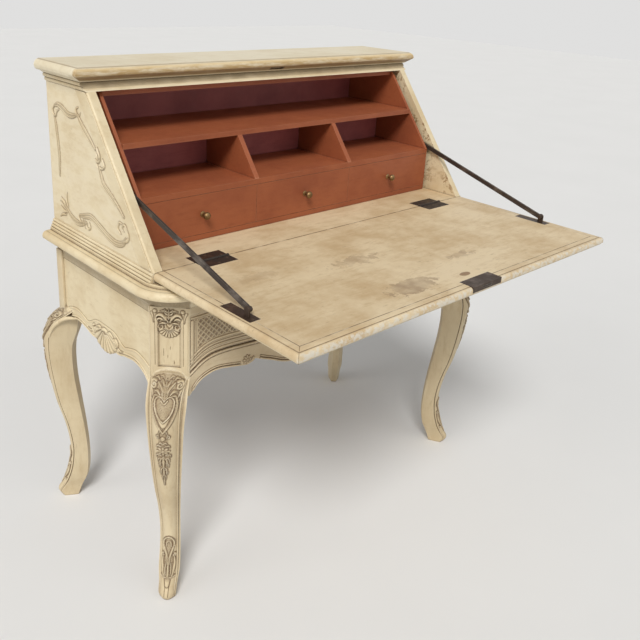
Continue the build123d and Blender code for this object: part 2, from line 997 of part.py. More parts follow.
def front_lipping():
    outline = ring([
        (-half_case, flap_front_y),
        (half_case, flap_front_y),
        (field_half, field_front),
        (-field_half, field_front),
    ])
    strip = extrude(Pos(0, 0, flap_low) * make_face(outline), amount=flap_thickness)
    outer = strip.edges().filter_by(Axis.X).group_by(Axis.Y)[0]
    return fillet(outer, flap_edge_radius) - lock_body()


parts["flap_panel"] = board(
    (-field_half, field_half), (field_front, flap_back), flap_z
) - flap_seats()
keep_pair("flap_lipping", side_lipping())
parts["flap_lipping_front"] = front_lipping()


def fixed_leaf():
    # Leaf on the desk board, with the two end knuckles and the pin
    low = -hinge_place - hinge_length / 2
    third = hinge_length / 3
    top = (writing_z - hinge_leaf_thickness, writing_z)
    clear = knuckle_radius + knuckle_play
    plate = board(
        (low, low + hinge_length), (hinge_y + clear, hinge_y + hinge_leaf_width), top
    )
    leaf = plate + rod(hinge_pin_radius, (low, low + hinge_length), hinge_y, writing_z)
    for start in (low, low + 2 * third):
        ends = (start + knuckle_play / 2, start + third - knuckle_play / 2)
        leaf += rod(knuckle_radius, ends, hinge_y, writing_z)
        leaf += board(ends, (hinge_y, hinge_y + clear), top)
    return leaf


def moving_leaf():
    # Leaf on the flap, with the middle knuckle, bored for the pin
    low = -hinge_place - hinge_length / 2
    third = hinge_length / 3
    top = (writing_z - hinge_leaf_thickness, writing_z)
    clear = knuckle_radius + knuckle_play
    middle = (low + third + knuckle_play / 2, low + 2 * third - knuckle_play / 2)
    leaf = board(
        (low, low + hinge_length), (hinge_y - hinge_leaf_width, hinge_y - clear), top
    )
    leaf += board(middle, (hinge_y - clear, hinge_y), top)
    leaf += rod(knuckle_radius, middle, hinge_y, writing_z)
    return leaf - rod(hinge_pin_radius + pin_play, middle, hinge_y, writing_z)


keep_pair("hinge_fixed_leaf", fixed_leaf())
keep_pair("hinge_moving_leaf", moving_leaf())


def stay_bracket():
    # Plate let into the flap, an upright ear and the headed pin that carries the stay
    ear_foot = writing_z - bracket_plate_thickness / 2
    ear_outline = [
        Polyline(
            (pin_y - bracket_ear_radius, pin_z),
            (pin_y - bracket_ear_radius, ear_foot),
            (pin_y + bracket_ear_radius, ear_foot),
            (pin_y + bracket_ear_radius, pin_z),
        ),
        ThreePointArc(
            (pin_y + bracket_ear_radius, pin_z),
            (pin_y, pin_z + bracket_ear_radius),
            (pin_y - bracket_ear_radius, pin_z),
        ),
    ]
    ear = across(ear_outline, (ear_outer, ear_inner))
    head_start = stay_inner + stay_side_play
    pin = rod(stay_pin_radius, (ear_outer, head_start), pin_y, pin_z)
    head = rod(stay_head_radius, (head_start, head_start + stay_head_thickness), pin_y, pin_z)
    return bracket_plate() + ear + pin + head


def stay():
    # Flat bar with round ends, bored at its foot, its tail reaching into the pocket
    lying = Pos(stay_length / 2, 0) * SlotCenterToCenter(stay_length, stay_width)
    bored = lying - Circle(stay_pin_radius + pin_play)
    bar = Plane(
        origin=(stay_outer, pin_y, pin_z),
        x_dir=(0, math.cos(math.radians(stay_rest_angle)), math.sin(math.radians(stay_rest_angle))),
        z_dir=(1, 0, 0),
    )
    return extrude(bar * bored, amount=stay_thickness)


keep_pair("stay_bracket", stay_bracket())
keep_pair("stay", stay())
parts["lock_case"] = lock_body() - bolt_way(bolt_play)
parts["lock_bolt"] = bolt_way(0)

for name, solid in parts.items():
    export_step(solid, "parts/" + name + ".step")
print(len(parts), "pieces, back plane at", round(back_y, 2), "hinge at", round(hinge_y, 2))
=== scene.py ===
import math

import bmesh
import bpy
import numpy as np
from mathutils import Matrix, Vector


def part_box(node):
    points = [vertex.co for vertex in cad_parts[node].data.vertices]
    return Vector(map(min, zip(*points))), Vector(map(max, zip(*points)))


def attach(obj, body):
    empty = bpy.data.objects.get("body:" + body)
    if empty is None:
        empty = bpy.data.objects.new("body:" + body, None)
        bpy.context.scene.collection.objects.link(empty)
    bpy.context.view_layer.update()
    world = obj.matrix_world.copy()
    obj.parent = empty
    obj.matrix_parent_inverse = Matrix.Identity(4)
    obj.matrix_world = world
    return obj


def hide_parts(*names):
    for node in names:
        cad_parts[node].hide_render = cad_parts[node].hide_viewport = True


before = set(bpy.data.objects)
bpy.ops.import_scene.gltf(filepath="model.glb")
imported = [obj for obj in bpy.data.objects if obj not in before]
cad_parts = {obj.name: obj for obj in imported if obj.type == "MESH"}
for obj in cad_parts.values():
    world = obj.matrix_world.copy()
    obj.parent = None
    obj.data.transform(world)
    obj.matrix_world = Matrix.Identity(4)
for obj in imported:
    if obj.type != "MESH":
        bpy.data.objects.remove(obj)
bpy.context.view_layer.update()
scene = bpy.context.scene
scene.view_settings.view_transform = "Standard"

# where the main planes of the desk lie, in metres
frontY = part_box("drawer_rail")[0].y
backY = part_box("case_back")[1].y
halfLower = 0.481
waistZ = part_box("waist_frame")[0].z
bracketZ = 0.480
apronRise = 0.041


def addObject(name, data):
    made = bpy.data.objects.new(name, data)
    scene.collection.objects.link(made)
    return made


def addMesh(name, bm, finish):
    mesh = bpy.data.meshes.new(name)
    bm.to_mesh(mesh)
    bm.free()
    mesh.materials.append(finish)
    return addObject(name, mesh)


# short ways to add nodes to one tree
class Nodes:
    def __init__(self, tree):
        self.tree = tree

    def plug(self, socket, value):
        if isinstance(value, bpy.types.NodeSocket):
            self.tree.links.new(value, socket)
        else:
            socket.default_value = (*value, 1) if socket.type == "RGBA" else value

    def add(self, kind, sockets=None, **settings):
        node = self.tree.nodes.new("ShaderNode" + kind)
        for name, value in settings.items():
            setattr(node, name, value)
        for name, value in (sockets or {}).items():
            self.plug(node.inputs[name], value)
        return node

    def mix(self, share, first, second):
        return self.add("Mix", {0: share, 6: first, 7: second}, data_type="RGBA").outputs[2]

    def maths(self, kind, first, second=0.0, clamp=False):
        return self.add("Math", {0: first, 1: second}, operation=kind, use_clamp=clamp).outputs[0]

    def times(self, first, *others):
        for other in others:
            first = self.maths("MULTIPLY", first, other)
        return first

    def minus(self, first, second):
        return self.maths("SUBTRACT", first, second)

    def size(self, value):
        return self.maths("ABSOLUTE", value)

    def spread(self, value, low, high, toLow=0.0, toHigh=1.0):
        sockets = {"Value": value, "From Min": low, "From Max": high, "To Min": toLow, "To Max": toHigh}
        return self.add("MapRange", sockets).outputs[0]

    def noise(self, where, scale, detail=3.0, roughness=0.55):
        sockets = {"Vector": where, "Scale": scale, "Detail": detail, "Roughness": roughness}
        return self.add("TexNoise", sockets).outputs["Fac"]

    def stretch(self, where, scale):
        return self.add("Mapping", {"Vector": where, "Scale": scale}).outputs[0]

    def band(self, axis, level, first, second):
        return self.spread(axis, level + first, level + second)

    def near(self, distance, samples, **settings):
        return self.add("AmbientOcclusion", {"Distance": distance}, samples=samples, **settings).outputs["AO"]

    def place(self):
        where = self.add("TexCoord").outputs["Object"]
        return where, self.add("SeparateXYZ", {0: where}).outputs

    # paint another colour over what the shader has, where all masks meet
    def recolour(self, colour, *masks):
        socket = self.tree.nodes["Principled BSDF"].inputs["Base Color"]
        under = socket.links[0].from_socket
        self.tree.links.new(self.mix(self.times(*masks), under, colour), socket)


# a shared effect takes colours, a stretch and numbers, and gives colour, roughness and height
def newGroup(name, colours, numbers):
    tree = bpy.data.node_groups.new(name, "ShaderNodeTree")
    kinds = {**dict.fromkeys(colours, "Color"), "Stretch": "Vector", **dict.fromkeys(numbers, "Float")}
    for label, kind in kinds.items():
        tree.interface.new_socket(label, in_out="INPUT", socket_type="NodeSocket" + kind)
    for label, kind in (("Color", "Color"), ("Roughness", "Float"), ("Height", "Float")):
        tree.interface.new_socket(label, in_out="OUTPUT", socket_type="NodeSocket" + kind)
    on = Nodes(tree)
    given = tree.nodes.new("NodeGroupInput").outputs
    where = on.add("TexCoord").outputs["Object"]
    return on, given, where, on.stretch(where, given["Stretch"])


def endGroup(on, colour, roughness, height):
    put = on.tree.nodes.new("NodeGroupOutput").inputs
    for label, value in (("Color", colour), ("Roughness", roughness), ("Height", height)):
        on.plug(put[label], value)
    return on.tree


# old paint: mottled cream, brown glaze left in the hollows with painted shade in corners and between parts, pits
# along the grain, bare spots on the edges
def makeAgedPaint():
    colours, numbers = ("Paint", "Stain", "Glaze", "Bare"), ("Blotch", "Pits", "DirtAndShade", "Wear")
    on, given, where, along = newGroup("agedPaint", colours, numbers)
    clouds = on.noise(where, 7.0, 5.0, 0.62)
    streaks = on.noise(along, 24.0, 5.0, 0.68)
    dashes = on.noise(along, 60.0, 2.0, 0.5)
    specks = on.noise(where, 330.0, 2.0)
    # ambient occlusion over all objects, darker where nearby parts hide a spot: painted shade in corners, recesses
    # and between parts
    near = on.near(0.008, 8)
    edge = on.near(0.0035, 8, only_local=True, inside=True)
    # glaze stored on the carved pieces, which under some mouldings holds painted shade as well
    hollow = on.add("Attribute", attribute_name="hollow").outputs["Fac"]

    cloudy = on.times(on.spread(clouds, 0.42, 0.64), given["Blotch"])
    stained = on.mix(cloudy, given["Paint"], given["Stain"])
    streaked = on.mix(on.spread(streaks, 0.50, 0.70, 0.0, 0.55), stained, given["Stain"])
    pale = on.mix(on.spread(streaks, 0.42, 0.26, 0.0, 0.5), streaked, given["Paint"])
    pitted = on.mix(on.times(on.spread(dashes, 0.68, 0.74), given["Pits"]), pale, given["Glaze"])
    # the painted shade and the glaze of the carved hollows darken the paint together
    glazeAndShade = on.maths("ADD", on.spread(near, 0.70, 0.36), hollow, clamp=True)
    patchy = on.times(glazeAndShade, on.spread(specks, 0.30, 0.60, 0.68, 1.0), given["DirtAndShade"])
    glazedAndShaded = on.mix(patchy, pitted, given["Glaze"])
    rubbed = on.times(on.spread(edge, 0.80, 0.45), given["Wear"], on.spread(streaks, 0.38, 0.58))
    colour = on.mix(rubbed, glazedAndShaded, given["Bare"])
    lines = on.minus(on.times(streaks, 0.7), on.spread(dashes, 0.66, 0.74, 0.0, 0.5))
    height = on.maths("ADD", lines, on.times(specks, 0.3))
    return endGroup(on, colour, on.spread(clouds, 0.3, 0.7, 0.40, 0.62), height)


# wood grain: long dark lines and soft bands along one axis, and painted shade in the corners
def makeWoodGrain():
    on, given, where, along = newGroup("woodGrain", ("Light", "Dark"), ("DirtAndShade",))
    bands = on.noise(along, 14.0, 4.0, 0.6)
    pores = on.noise(along, 95.0, 3.0, 0.6)
    clouds = on.noise(where, 5.0, 3.0)
    near = on.near(0.02, 6, only_local=True)
    grain = on.mix(on.spread(bands, 0.36, 0.66), given["Light"], given["Dark"])
    lined = on.mix(on.spread(pores, 0.55, 0.75, 0.0, 0.5), grain, given["Dark"])
    shaded = on.mix(on.spread(clouds, 0.45, 0.75, 0.0, 0.45), lined, given["Dark"])
    # ambient occlusion of the piece itself darkens its corners: painted shade
    cornerShade = on.times(on.spread(near, 0.9, 0.4), given["DirtAndShade"])
    colour = on.mix(cornerShade, shaded, (0.02, 0.01, 0.006))
    height = on.maths("ADD", on.times(pores, 0.5), on.times(bands, 0.5))
    return endGroup(on, colour, on.spread(bands, 0.3, 0.7, 0.34, 0.55), height)


# old metal: dark skin with rubbed, brighter spots
def makeOldMetal():
    on, given, where, along = newGroup("oldMetal", ("Skin", "Rubbed"), ("Wear",))
    patches = on.noise(along, 38.0, 4.0, 0.65)
    grit = on.noise(where, 420.0, 2.0)
    edge = on.near(0.002, 6, only_local=True, inside=True)
    worn = on.spread(edge, 0.75, 0.35, 0.0, 0.6)
    rubbed = on.maths("ADD", on.spread(patches, 0.52, 0.74), worn, clamp=True)
    colour = on.mix(on.times(rubbed, given["Wear"]), given["Skin"], given["Rubbed"])
    return endGroup(on, colour, on.spread(patches, 0.35, 0.7, 0.6, 0.32), on.maths("ADD", grit, patches))


agedPaint = makeAgedPaint()
woodGrain = makeWoodGrain()
oldMetal = makeOldMetal()

paintLook = {
    "Paint": (0.70, 0.59, 0.39), "Stain": (0.56, 0.43, 0.245), "Glaze": (0.115, 0.062, 0.028),
    "Bare": (0.80, 0.71, 0.53), "Stretch": (3.0, 1.0, 3.0), "Blotch": 0.75, "Pits": 0.14, "DirtAndShade": 0.95, "Wear": 0.6,
}
redPaint = {
    "Paint": (0.325, 0.094, 0.037), "Stain": (0.245, 0.064, 0.026), "Glaze": (0.05, 0.015, 0.010),
    "Bare": (0.44, 0.19, 0.10), "Stretch": (1.0, 5.0, 5.0), "Pits": 0.12, "DirtAndShade": 0.75, "Wear": 0.45,
}
purplePaint = {"Paint": (0.42, 0.130, 0.125), "Stain": (0.30, 0.088, 0.085)}
brushed = (1.0, 4.0, 4.0)  # brush strokes run across the desk

paints = {  # what differs from paintLook
    "sidePaint": {},
    "legPaint": {"Stretch": (3.0, 3.0, 0.7), "Paint": (0.64, 0.53, 0.345), "Stain": (0.49, 0.37, 0.215),
                 "Blotch": 0.6},
    "frontPaint": {"Stretch": brushed, "Paint": (0.62, 0.51, 0.34), "Stain": (0.47, 0.355, 0.215)},
    "flapPaint": {"Stretch": brushed, "Paint": (0.69, 0.555, 0.355), "Stain": (0.48, 0.335, 0.175),
                  "Bare": (0.84, 0.77, 0.60), "Blotch": 0.78, "Pits": 0.3},
    "nosePaint": {"Stretch": brushed, "Paint": (0.72, 0.64, 0.47), "Stain": (0.60, 0.50, 0.33),
                  "Blotch": 0.5, "Wear": 0.9},
    "cornicePaint": {"Stretch": brushed},
    "cheekPaint": {},
    "redWood": redPaint,
    "darkRedWood": {**redPaint, **purplePaint},
}
woods = {
    "plainWood": {"Light": (0.42, 0.27, 0.15), "Dark": (0.28, 0.165, 0.085), "Stretch": (0.35, 9.0, 9.0)},
    "backWood": {"Light": (0.40, 0.27, 0.16), "Dark": (0.27, 0.17, 0.095), "Stretch": (9.0, 9.0, 0.35)},
}
metals = {  # skin, rubbed spots, wear, share of metal, stretch
    "hingeIron": ((0.027, 0.018, 0.013), (0.085, 0.058, 0.040), 0.6, 0.35, (1, 1, 1)),
    "darkIron": ((0.045, 0.026, 0.016), (0.15, 0.095, 0.06), 0.6, 0.35, (1, 1, 1)),
    "steel": ((0.050, 0.036, 0.028), (0.24, 0.20, 0.165), 0.65, 0.5, (1.0, 0.5, 1.0)),
    "brass": ((0.19, 0.11, 0.045), (0.56, 0.40, 0.20), 0.75, 0.9, (1, 1, 1)),
}
finishes = {}


def addFinish(name, group, values, bump, settings):
    finish = bpy.data.materials.new(name)
    finish.use_nodes = True
    on = Nodes(finish.node_tree)
    part = on.add("Group", values, node_tree=group).outputs
    relief = on.add("Bump", {"Strength": bump[0], "Distance": bump[1], "Height": part["Height"]}).outputs[0]
    links = {"Base Color": part["Color"], "Roughness": part["Roughness"], "Normal": relief}
    for label, value in {**links, **settings}.items():
        on.plug(on.tree.nodes["Principled BSDF"].inputs[label], value)
    finishes[name] = finish


for look, changes in paints.items():
    addFinish(look, agedPaint, {**paintLook, **changes}, (0.3, 0.0016), {"Specular IOR Level": 0.35})
for look, values in woods.items():
    addFinish(look, woodGrain, {**values, "DirtAndShade": 0.6}, (0.2, 0.001), {"Specular IOR Level": 0.4})
for look, (skin, rubbed, wear, metal, stretch) in metals.items():
    values = {"Skin": skin, "Rubbed": rubbed, "Stretch": stretch, "Wear": wear}
    addFinish(look, oldMetal, values, (0.3, 0.0006), {"Metallic": metal})


# some places on a piece have their own colour; their masks read Object coordinates
def spot(on, where, centre, size, ragged):
    shifted = on.add("VectorMath", {0: where, 1: centre}, operation="SUBTRACT").outputs[0]
    scaled = on.add("VectorMath", {0: shifted, 1: size}, operation="DIVIDE").outputs[0]
    far = on.add("VectorMath", {0: scaled}, operation="LENGTH").outputs["Value"]
    rough = on.times(on.minus(on.noise(where, 55.0, 4.0, 0.65), 0.5), 4.0 * ragged)
    return on.spread(on.maths("ADD", far, rough), 1.08, 0.92)


# the flap: seams of the lippings, hinge line, painted outer face, four stains, chipped rim, rub mark by the lock
flapMarks = {
    "seam": (0.16, 0.095, 0.045), "seamHalf": 0.0007, "hingeHalf": 0.0008, "hingeDeep": 0.0012,
    "outside": (0.0042, 0.0034), "rim": (0.016, 0.021), "chip": (0.66, 0.62, 0.53), "stain": (0.30, 0.205, 0.120),
    "stains": [  # centre, size, raggedness, strength
        ((-0.120, -0.352, 0.745), (0.060, 0.028, 0.012), 0.6, 0.75),
        ((-0.115, -0.196, 0.745), (0.055, 0.020, 0.012), 0.9, 0.5),
        ((0.105, -0.300, 0.745), (0.035, 0.012, 0.012), 1.2, 0.6),
        ((-0.330, -0.150, 0.745), (0.05, 0.016, 0.012), 1.0, 0.22),
    ],
    "rub": ((0.014, -0.373, 0.745), (0.015, 0.0075, 0.012), 0.12), "rubColour": (0.20, 0.105, 0.04),
}


def markFlap(on):
    look = flapMarks
    low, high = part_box("flap_panel")
    where, axes = on.place()
    sideways = on.minus(on.size(axes["X"]), high.x)
    forwards = on.minus(low.y, axes["Y"])
    sideLine = on.maths("MAXIMUM", on.size(sideways), forwards)
    frontLine = on.maths("MAXIMUM", on.size(forwards), sideways)
    mitre = on.maths("MAXIMUM", on.size(on.minus(sideways, forwards)), on.times(sideways, -1.0))
    hinge = on.minus(on.size(on.minus(axes["Y"], high.y)), look["hingeHalf"])
    hinge = on.maths("MAXIMUM", hinge, on.minus(high.z - look["hingeDeep"], axes["Z"]))  # only on top
    nearest = sideLine
    for seam in (frontLine, mitre, hinge):
        nearest = on.maths("MINIMUM", nearest, seam)

    outside = on.band(axes["Z"], low.z, *look["outside"])
    cloudy = on.spread(on.noise(where, 6.0, 4.0, 0.6), 0.40, 0.68)
    on.recolour(on.mix(cloudy, paintLook["Paint"], paintLook["Stain"]), outside, 0.85)
    patchy = on.spread(on.noise(where, 30.0), 0.35, 0.6, 0.4, 1.0)
    for centre, size, ragged, strong in look["stains"]:
        on.recolour(look["stain"], spot(on, where, centre, size, ragged), patchy, strong)
    chips = on.spread(on.noise(where, 85.0, 4.0, 0.7), 0.44, 0.56, 0.0, 0.8)
    on.recolour(look["chip"], on.spread(forwards, *look["rim"]), chips)
    on.recolour(look["rubColour"], spot(on, where, *look["rub"]), 0.85)
    worn = on.spread(on.noise(where, 40.0, 3.0), 0.36, 0.52, 0.25, 0.9)
    on.recolour(look["seam"], on.spread(nearest, look["seamHalf"] * 1.6, look["seamHalf"] * 0.7), worn)


# the front of the top's nose is rubbed golden brown, with a painted highlight along its upper round and painted
# shade on its underside; the returns stay pale; a dark line lies in the quirk at the top's arris
noseMarks = {
    "gold": (0.45, 0.31, 0.145), "highlightColour": (0.74, 0.58, 0.33), "line": (0.20, 0.12, 0.055),
    "front": (0.016, 0.012), "under": (-0.001, -0.004), "paintedHighlight": (-0.005, -0.010), "foot": (0.0125, 0.0105),
    "quirk": 0.0009, "quirkHalf": (0.0009, 0.0004),
}


def markNose(on):
    look = noseMarks
    where, axes = on.place()
    low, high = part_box("top_board")
    streaky = on.spread(on.noise(on.stretch(where, (1.0, 3.0, 7.0)), 20.0, 5.0, 0.7), 0.36, 0.58, 0.2, 1.0)
    front = on.band(axes["Y"], low.y, *look["front"])
    under = on.times(on.band(axes["Z"], high.z, *look["under"]), front)
    on.recolour(look["gold"], under, streaky)
    # painted highlight along the upper round of the nose front
    paintedHighlight = on.minus(under, on.band(axes["Z"], high.z, *look["paintedHighlight"]))
    on.recolour(look["highlightColour"], on.spread(paintedHighlight, 0.3, 1.0), 0.6)
    # painted shade on the underside of the nose front
    foot = on.band(axes["Z"], low.z, *look["foot"])
    on.recolour(look["line"], foot, front, 0.75)
    quirk = on.size(on.minus(axes["Z"], high.z - look["quirk"]))
    on.recolour(look["line"], on.spread(quirk, *look["quirkHalf"]), 0.6)


# a shaded band on the front of the cornice
corniceMarks = {"band": (0.37, 0.285, 0.175), "up": (0.0048, 0.0056), "front": (0.016, 0.014)}


def markCornice(on):
    look = corniceMarks
    where, axes = on.place()
    low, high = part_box("cornice")
    band = on.band(axes["Z"], low.z, *look["up"])
    front = on.band(axes["Y"], low.y, *look["front"])
    on.recolour(look["band"], band, front, on.spread(on.noise(where, 30.0, 4.0), 0.3, 0.65, 0.45, 0.85))


# inside the opening the paint of the case sides has flaked off in brown spots
cheekMarks = {"flake": (0.27, 0.155, 0.065), "inside": (0.4612, 0.4602)}


def markCheek(on):
    where, axes = on.place()
    inside = on.spread(on.size(axes["X"]), *cheekMarks["inside"])
    flakes = on.spread(on.noise(where, 75.0, 5.0, 0.7), 0.53, 0.57)
    zone = on.spread(on.noise(where, 9.0), 0.36, 0.52)
    on.recolour(cheekMarks["flake"], flakes, zone, inside, 0.85)


# the back of the case is raw wood outside and painted inside
backMarks = {"inside": (-0.0060, -0.0070)}


def markBack(on):
    where, axes = on.place()
    cloudy = on.spread(on.noise(where, 7.0, 4.0, 0.6), 0.38, 0.66)
    inside = on.band(axes["Y"], backY, *backMarks["inside"])
    on.recolour(on.mix(cloudy, purplePaint["Paint"], purplePaint["Stain"]), inside)


marks = {"flapPaint": markFlap, "nosePaint": markNose, "cornicePaint": markCornice, "backWood": markBack,
         "cheekPaint": markCheek}
for look, mark in marks.items():
    mark(Nodes(finishes[look].node_tree))

# which solids of the frame take each finish, by how their names begin; the longest fit counts
nodeLooks = {
    "legPaint": ("leg_",),
    "sidePaint": ("lower_", "waist", "reeds"),
    "frontPaint": ("front_apron", "drawer_rail", "frieze_drawer_front"),
    "flapPaint": ("desk_board", "flap"),
    "nosePaint": ("top_board",),
    "cornicePaint": ("cornice",),
    "cheekPaint": ("case_side",),
    "redWood": ("lining", "drawer_bed", "pigeonhole", "top_shelf", "interior_fascia", "drawer_divider",
                "small_drawer_front"),
    "darkRedWood": ("pigeonhole_back",),
    "plainWood": ("lower_back", "drawer_runner", "small_drawer_box", "frieze_drawer_box"),
    "backWood": ("case_back",),
    "hingeIron": ("hinge",),
    "darkIron": ("lock_strike", "stay_bracket", "lock_case"),
    "steel": ("stay", "lock_bolt"),
    "brass": ("small_drawer_knob",),
}


def dressNodes(nodes):
    starts = {start: look for look, words in nodeLooks.items() for start in words}
    for name, solid in nodes.items():
        best = max((start for start in starts if name.startswith(start)), key=len)
        solid.data.materials.clear()
        solid.data.materials.append(finishes[starts[best]])
    print("finishes on", len(nodes), "solids")


dressNodes(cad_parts)

# camera, lights and floor
cameraLook = {"place": (-1.1842, -1.1497, 1.2841), "yaw": 0.74307, "pitch": 0.35023, "roll": 0.04932,
              "lens": 42.402, "shift": (0.0550, -0.1117)}


def setCamera(look):
    data = bpy.data.cameras.new("camera")
    data.sensor_width = 36.0
    data.lens = look["lens"]
    data.shift_x, data.shift_y = look["shift"]
    data.clip_end = 60.0
    turn = Matrix.Rotation(-look["yaw"], 4, "Z") @ Matrix.Rotation(math.pi / 2 - look["pitch"], 4, "X")
    camera = addObject("camera", data)
    camera.matrix_world = Matrix.Translation(look["place"]) @ turn @ Matrix.Rotation(look["roll"], 4, "Z")
    scene.camera = camera


lampLooks = [
    {"name": "keyLamp", "from": (-1.7, -1.5, 2.4), "strength": 2.35, "soft": 20.0},
    {"name": "sideLamp", "from": (-3.0, 0.4, 1.2), "strength": 0.65, "soft": 40.0},
    {"name": "frontLamp", "from": (0.8, -3.0, 2.0), "strength": 0.35, "soft": 50.0},
]


def addLamp(look):
    data = bpy.data.lights.new(look["name"], "SUN")
    data.energy = look["strength"]
    data.angle = math.radians(look["soft"])
    lamp = addObject(look["name"], data)
    lamp.location = look["from"]
    lamp.rotation_euler = (-Vector(look["from"])).to_track_quat("-Z", "Y").to_euler()


floorLook = {"tones": ((0.74, 0.735, 0.72), (0.78, 0.775, 0.76)), "patches": 2.0, "roughness": 0.9, "size": 14.0}


def addFloor(look):
    finish = bpy.data.materials.new("floorFinish")
    finish.use_nodes = True
    on = Nodes(finish.node_tree)
    shader = on.tree.nodes["Principled BSDF"].inputs
    where = on.add("TexCoord").outputs["Object"]
    on.plug(shader["Base Color"], on.mix(on.noise(where, look["patches"]), *look["tones"]))
    on.plug(shader["Roughness"], look["roughness"])
    bm = bmesh.new()
    bmesh.ops.create_grid(bm, x_segments=2, y_segments=2, size=look["size"])
    addMesh("floor", bm, finish)


# the studio gives soft light all round and looks brighter than it lights
worldLook = {"colour": (1.0, 0.996, 0.988), "strength": 0.30, "seen": 0.745}


def addWorld(look):
    world = bpy.data.worlds.new("studio")
    world.use_nodes = True
    on = Nodes(world.node_tree)
    rays = on.add("LightPath").outputs
    looked = on.maths("MAXIMUM", rays["Is Camera Ray"], rays["Is Glossy Ray"])
    looked = on.maths("MAXIMUM", looked, rays["Is Transmission Ray"])
    back = on.tree.nodes["Background"].inputs
    on.plug(back["Color"], look["colour"])
    on.plug(back["Strength"], on.spread(looked, 0.0, 1.0, look["strength"], look["seen"]))
    scene.world = world


setCamera(cameraLook)
for lampLook in lampLooks:
    addLamp(lampLook)
addFloor(floorLook)
addWorld(worldLook)
print("camera, lamps and floor placed")


# carving: each stroke is a path in millimetres on a face, with a width along it and a rise or a cut

def smoothPath(points, steps=6):
    points = np.asarray(points, float)
    ends = np.vstack([2 * points[0] - points[1], points, 2 * points[-1] - points[-2]])
    share = np.linspace(0, 1, steps, endpoint=False)[:, None]
    runs = []
    for a, b, c, d in zip(ends[:-3], ends[1:-2], ends[2:-1], ends[3:]):
        bend = 2 * b + (c - a) * share + (2 * a - 5 * b + 4 * c - d) * share ** 2
        runs.append((bend + (3 * b - a - 3 * c + d) * share ** 3) / 2)
    return np.vstack(runs + [points[-1:]])


def stroke(path, width, rise, steps=6):
    path = smoothPath(path, steps)
    widths = np.atleast_1d(np.asarray(width, float))
    share = np.linspace(0, 1, len(path))
    return path, np.interp(share, np.linspace(0, 1, len(widths)), widths), rise


def dot(centre, radius, rise):
    return stroke([centre, (centre[0] + 0.01, centre[1])], radius, rise, 1)


def curl(centre, radius, start, turns, width, rise):
    share = np.linspace(0, 1, 22)
    angle = math.radians(start) + 2 * math.pi * turns * share
    size = radius * (1 - 0.82 * share)
    path = np.stack([centre[0] + size * np.cos(angle), centre[1] + size * np.sin(angle)], 1)
    return stroke(path, width, rise, 1)


def bothSides(strokes):
    return strokes + [(path * (-1, 1), width, rise) for path, width, rise in strokes]


# a moulding: two thin ridges beside a low swell, drawing together at the ends
def moulding(path, half, rise, ridge=2.0):
    path = smoothPath(path, 8)
    run = np.gradient(path, axis=0)
    side = np.stack([-run[:, 1], run[:, 0]], 1) / np.linalg.norm(run, axis=1)[:, None]
    away = np.sqrt(np.sin(math.pi * np.linspace(0.02, 0.98, len(path))))[:, None] * (half - ridge)
    thin = (ridge * 0.6, ridge, ridge, ridge, ridge * 0.6)
    strokes = [stroke(path + side * away * hand, thin, rise, 1) for hand in (-1, 1)]
    return strokes + [stroke(path, (0.6, half * 0.7, half * 0.7, 0.6), rise * 0.5, 1)]


# a leaf: a swelling midrib and pairs of lobes that turn out towards the tip
def leaf(base, tip, half, rise, lobes=3):
    base, tip = np.array(base, float), np.array(tip, float)
    axis = tip - base
    side = np.array([-axis[1], axis[0]]) / np.linalg.norm(axis)
    strokes = [stroke([base, base + axis * 0.5, tip], (half * 0.2, half * 0.32, 0.5), rise)]
    for hand in (-1, 1):
        for index in range(lobes):
            share = (index + 0.25) / (lobes + 0.4)
            reach = half * math.sin(math.pi * (0.3 + 0.5 * share))
            start = base + axis * share
            turn = start + axis * 0.13 + side * hand * reach * 0.6
            end = start + axis * 0.30 + side * hand * reach
            strokes.append(stroke([start, turn, end], (half * 0.12, half * 0.26, half * 0.1), rise * 0.85))
    return strokes + [stroke([base, tip - axis * 0.15], (0.5, 0.35), -0.7)]


# ribs of a shell, fanned out downwards from a hub on the middle line
def fan(hub, inner, outer, wide, rise, ribs=9):
    strokes = []
    broad = outer * math.radians(wide) / ribs / 2
    for index in range(ribs):
        turn = math.radians(wide * ((index + 0.5) / ribs - 0.5) - 90)
        way = np.array([math.cos(turn), math.sin(turn)])
        path = [way * inner + (0, hub), way * (outer - broad) + (0, hub)]
        strokes.append(stroke(path, (broad * inner / outer, broad), rise))
    return strokes


def petals(centre, inner, outer, width, rise, flat=1.0):
    ways = [np.array([math.cos(turn), flat * math.sin(turn)]) for turn in np.radians(range(0, 360, 45))]
    return [stroke([way * inner + centre, way * outer + centre], width, rise) for way in ways]


def hump(gap, middle, half):  # round bead across a line
    return np.sqrt(np.clip(1 - ((gap - middle) / half) ** 2, 0, 1))


def line(gap, middle, half):  # soft dark line
    return np.clip(1 - np.abs(gap - middle) / half, 0, 1)


# height of all strokes at points of a face, and how much glaze lies beside them; soft is how far it spreads,
# a stroke of no rise only stains the ground
carveLook = {"round": 0.75, "ring": 1.4, "fullRise": 1.6, "ground": 0.55, "rubbed": 0.7, "thinnest": 0.15}


